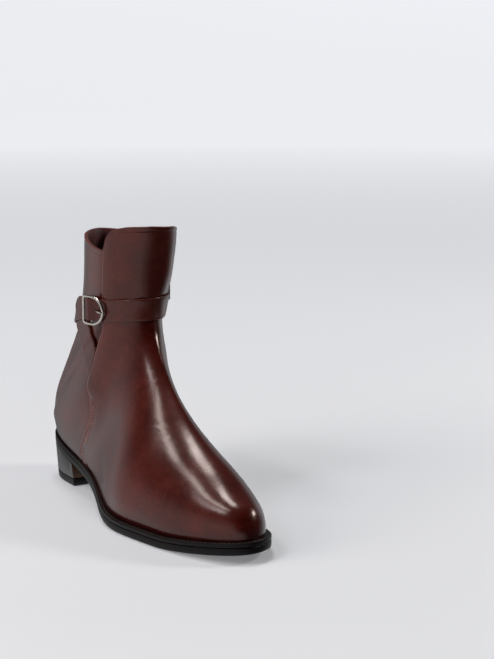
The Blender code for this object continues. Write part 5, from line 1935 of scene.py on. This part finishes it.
    def build(self) -> list:
        """Makes every piece under the upper."""
        self.ring = closed_loop(SOLE_OUTLINE, self.points)
        outsole = self.plate("outsole_plate", self.sole.underside, self.sole.outsole_top, self.edge_bulge,
                             [self.finishes.sole, self.finishes.tread], 0.7)
        settle(outsole, Body.BOOT, ["outsole"])
        sock = self.plate("insole_sock", self.sole.welt_low, self.sock_top,
                          self.sock_inset + WALL + UNDER_WALL + GAP, [self.finishes.lining], 0.5)
        settle(sock, Body.BOOT, ["insole"])
        return [outsole, sock, *self.welt(), *self.heel()]


@dataclass
class Studio:
    """Pale seamless floor, soft boxes and the camera, in metres."""

    look_at: tuple = (0.07375, -0.00027, 0.1199)
    azimuth: float = -29.0
    elevation: float = 11.4
    distance: float = 1.183
    focal_px: float = 1700.0
    frame_height: int = 659
    sensor_mm: float = 36.0
    floor_hex: str = "#e8eaee"
    floor_low_hex: str = "#e4e6ea"
    floor_flat: float = 3.0
    floor_bend: float = 2.0
    floor_drop: float = 0.0003
    wall_top: float = 4.5
    floor_glow: float = 0.2
    wall_glow: float = 0.9
    glow_from: tuple = (0.2, 2.8)
    air: float = 0.78
    air_hex: str = "#f4f6fa"
    light_target: tuple = (0.0, 0.0, 0.1)

    def camera(self) -> None:
        """Camera at the viewing angle."""
        a = math.radians(self.azimuth)
        e = math.radians(self.elevation)
        back = Vector((math.sin(a) * math.cos(e), -math.cos(a) * math.cos(e), math.sin(e)))
        lens = bpy.data.cameras.new("camera")
        lens.sensor_width = self.sensor_mm
        lens.lens = self.focal_px / self.frame_height * self.sensor_mm
        lens.clip_end = 200.0
        camera = linked("camera", lens)
        camera.location = Vector(self.look_at) + back * self.distance
        camera.rotation_mode = "QUATERNION"
        camera.rotation_quaternion = (-back).to_track_quat("-Z", "Y")
        bpy.context.scene.camera = camera

    def floor(self) -> None:
        """Round seamless floor that curves up to a pale wall on every side."""
        bend = self.floor_bend
        profile = [(1.0, 0.0), (self.floor_flat, 0.0)]
        profile += [(self.floor_flat + bend * math.sin(a), bend * (1 - math.cos(a)))
                    for a in np.radians(np.arange(10, 91, 10))]
        profile += [(self.floor_flat + bend, self.wall_top)]
        count = 96
        points = [(r * math.cos(a), r * math.sin(a), z - self.floor_drop) for r, z in profile
                  for a in np.linspace(0, 2 * math.pi, count, endpoint=False)]
        mesh = bpy.data.meshes.new("studio_floor")
        mesh.from_pydata(points, [], grid_faces(len(profile), count, wrap=True) + [tuple(range(count))[::-1]])
        mesh.shade_smooth()
        made = Recipe("studio_paper")
        # The paper's clouds are half a metre wide
        tone = made.blend(made.noise(500.0, 2.0), self.floor_hex, self.floor_low_hex)
        far = add_node(made.tree, "VectorMath", {"operation": "LENGTH"}, {0: made.place}).outputs["Value"]
        glow = spread(made.tree, far, self.glow_from, (self.floor_glow, self.wall_glow))
        mesh.materials.append(made.finished({
            "Base Color": tone, "Roughness": 0.6, "Emission Color": linear(self.floor_hex),
            "Emission Strength": glow}))
        floor = linked("studio_floor", mesh)
        floor.visible_glossy = False
        floor.visible_diffuse = False

    def soft_box(self, box: SoftBox) -> None:
        """A rectangular light that faces the boot, with its power worked out from its brightness."""
        lamp = bpy.data.lights.new(box.name, "AREA")
        lamp.shape = "RECTANGLE"
        lamp.size, lamp.size_y = box.size
        lamp.energy = box.radiance * math.pi * box.size[0] * box.size[1]
        lamp.color = linear(box.colour)[:3]
        light = linked(box.name, lamp)
        back = Vector(box.direction).normalized()
        across = Vector(box.along).cross(back).normalized()
        light.location = Vector(self.light_target) + back * box.distance
        light.rotation_mode = "QUATERNION"
        light.rotation_quaternion = Matrix((across, back.cross(across), back)).transposed().to_quaternion()
        light.visible_camera = False
        light.visible_glossy = box.mirrored

    def world(self) -> None:
        """Soft surroundings: pale on the left and behind, dark in front on the right, dim above."""
        world = bpy.data.worlds.new("studio_air")
        bpy.context.scene.world = world
        world.use_nodes = True
        tree = world.node_tree
        out = tree.nodes["Background"]
        place = add_node(tree, "TexCoord").outputs["Generated"]
        height = add_node(tree, "SeparateXYZ", {}, {0: place}).outputs[2]

        def towards(axis: tuple, reach: tuple, result: tuple) -> Socket:
            """Strength that changes towards a direction."""
            share = add_node(tree, "VectorMath", {"operation": "DOT_PRODUCT", 1: axis}, {0: place})
            return spread(tree, share.outputs["Value"], reach, result)

        # Each has a direction, the range of its cosine and the strengths at both ends
        room = towards((0.42, -0.91, 0.0), (0.1, 0.5), (self.air, 0.03))
        ground = towards((0.75, -0.66, 0.0), (0.3, 0.85), (self.air, 0.05))
        rear = towards((0.3, 0.95, 0.0), (0.74, 0.9), (1.0, 0.4))
        above = spread(tree, height, (-0.04, 0.1), (0.0, 1.0))
        dim = spread(tree, height, (0.1, 0.5), (1.0, 0.12))
        side = add_node(tree, "Mix", {"data_type": "FLOAT"}, {0: above, 2: ground, 3: room}).outputs[0]
        tree.links.new(product(tree, product(tree, side, dim), rear), out.inputs["Strength"])
        out.inputs["Color"].default_value = linear(self.air_hex)

    def build(self) -> None:
        """Sets up the whole studio."""
        self.camera()
        self.floor()
        self.world()
        for box in SOFT_BOXES:
            self.soft_box(box)
        bpy.context.scene.view_settings.view_transform = "Standard"


def main() -> None:
    """Builds the studio and every sub-assembly, in order."""
    logging.basicConfig(level=logging.INFO, format="%(name)s %(message)s")
    bpy.ops.object.select_all(action="DESELECT")
    Studio().build()
    sole = SoleForm()
    last = LastForm(sole)
    finishes = Finishes()
    assemblies = (UpperAssembly(sole, last, finishes), StrapAssembly(last, finishes),
                  BuckleAssembly(last, finishes), ZipAssembly(last, finishes), SoleAssembly(sole, finishes))
    for assembly in assemblies:
        for piece in assembly.build():
            LOG.info("built %s", piece.name)


if __name__ == "__main__":
    main()
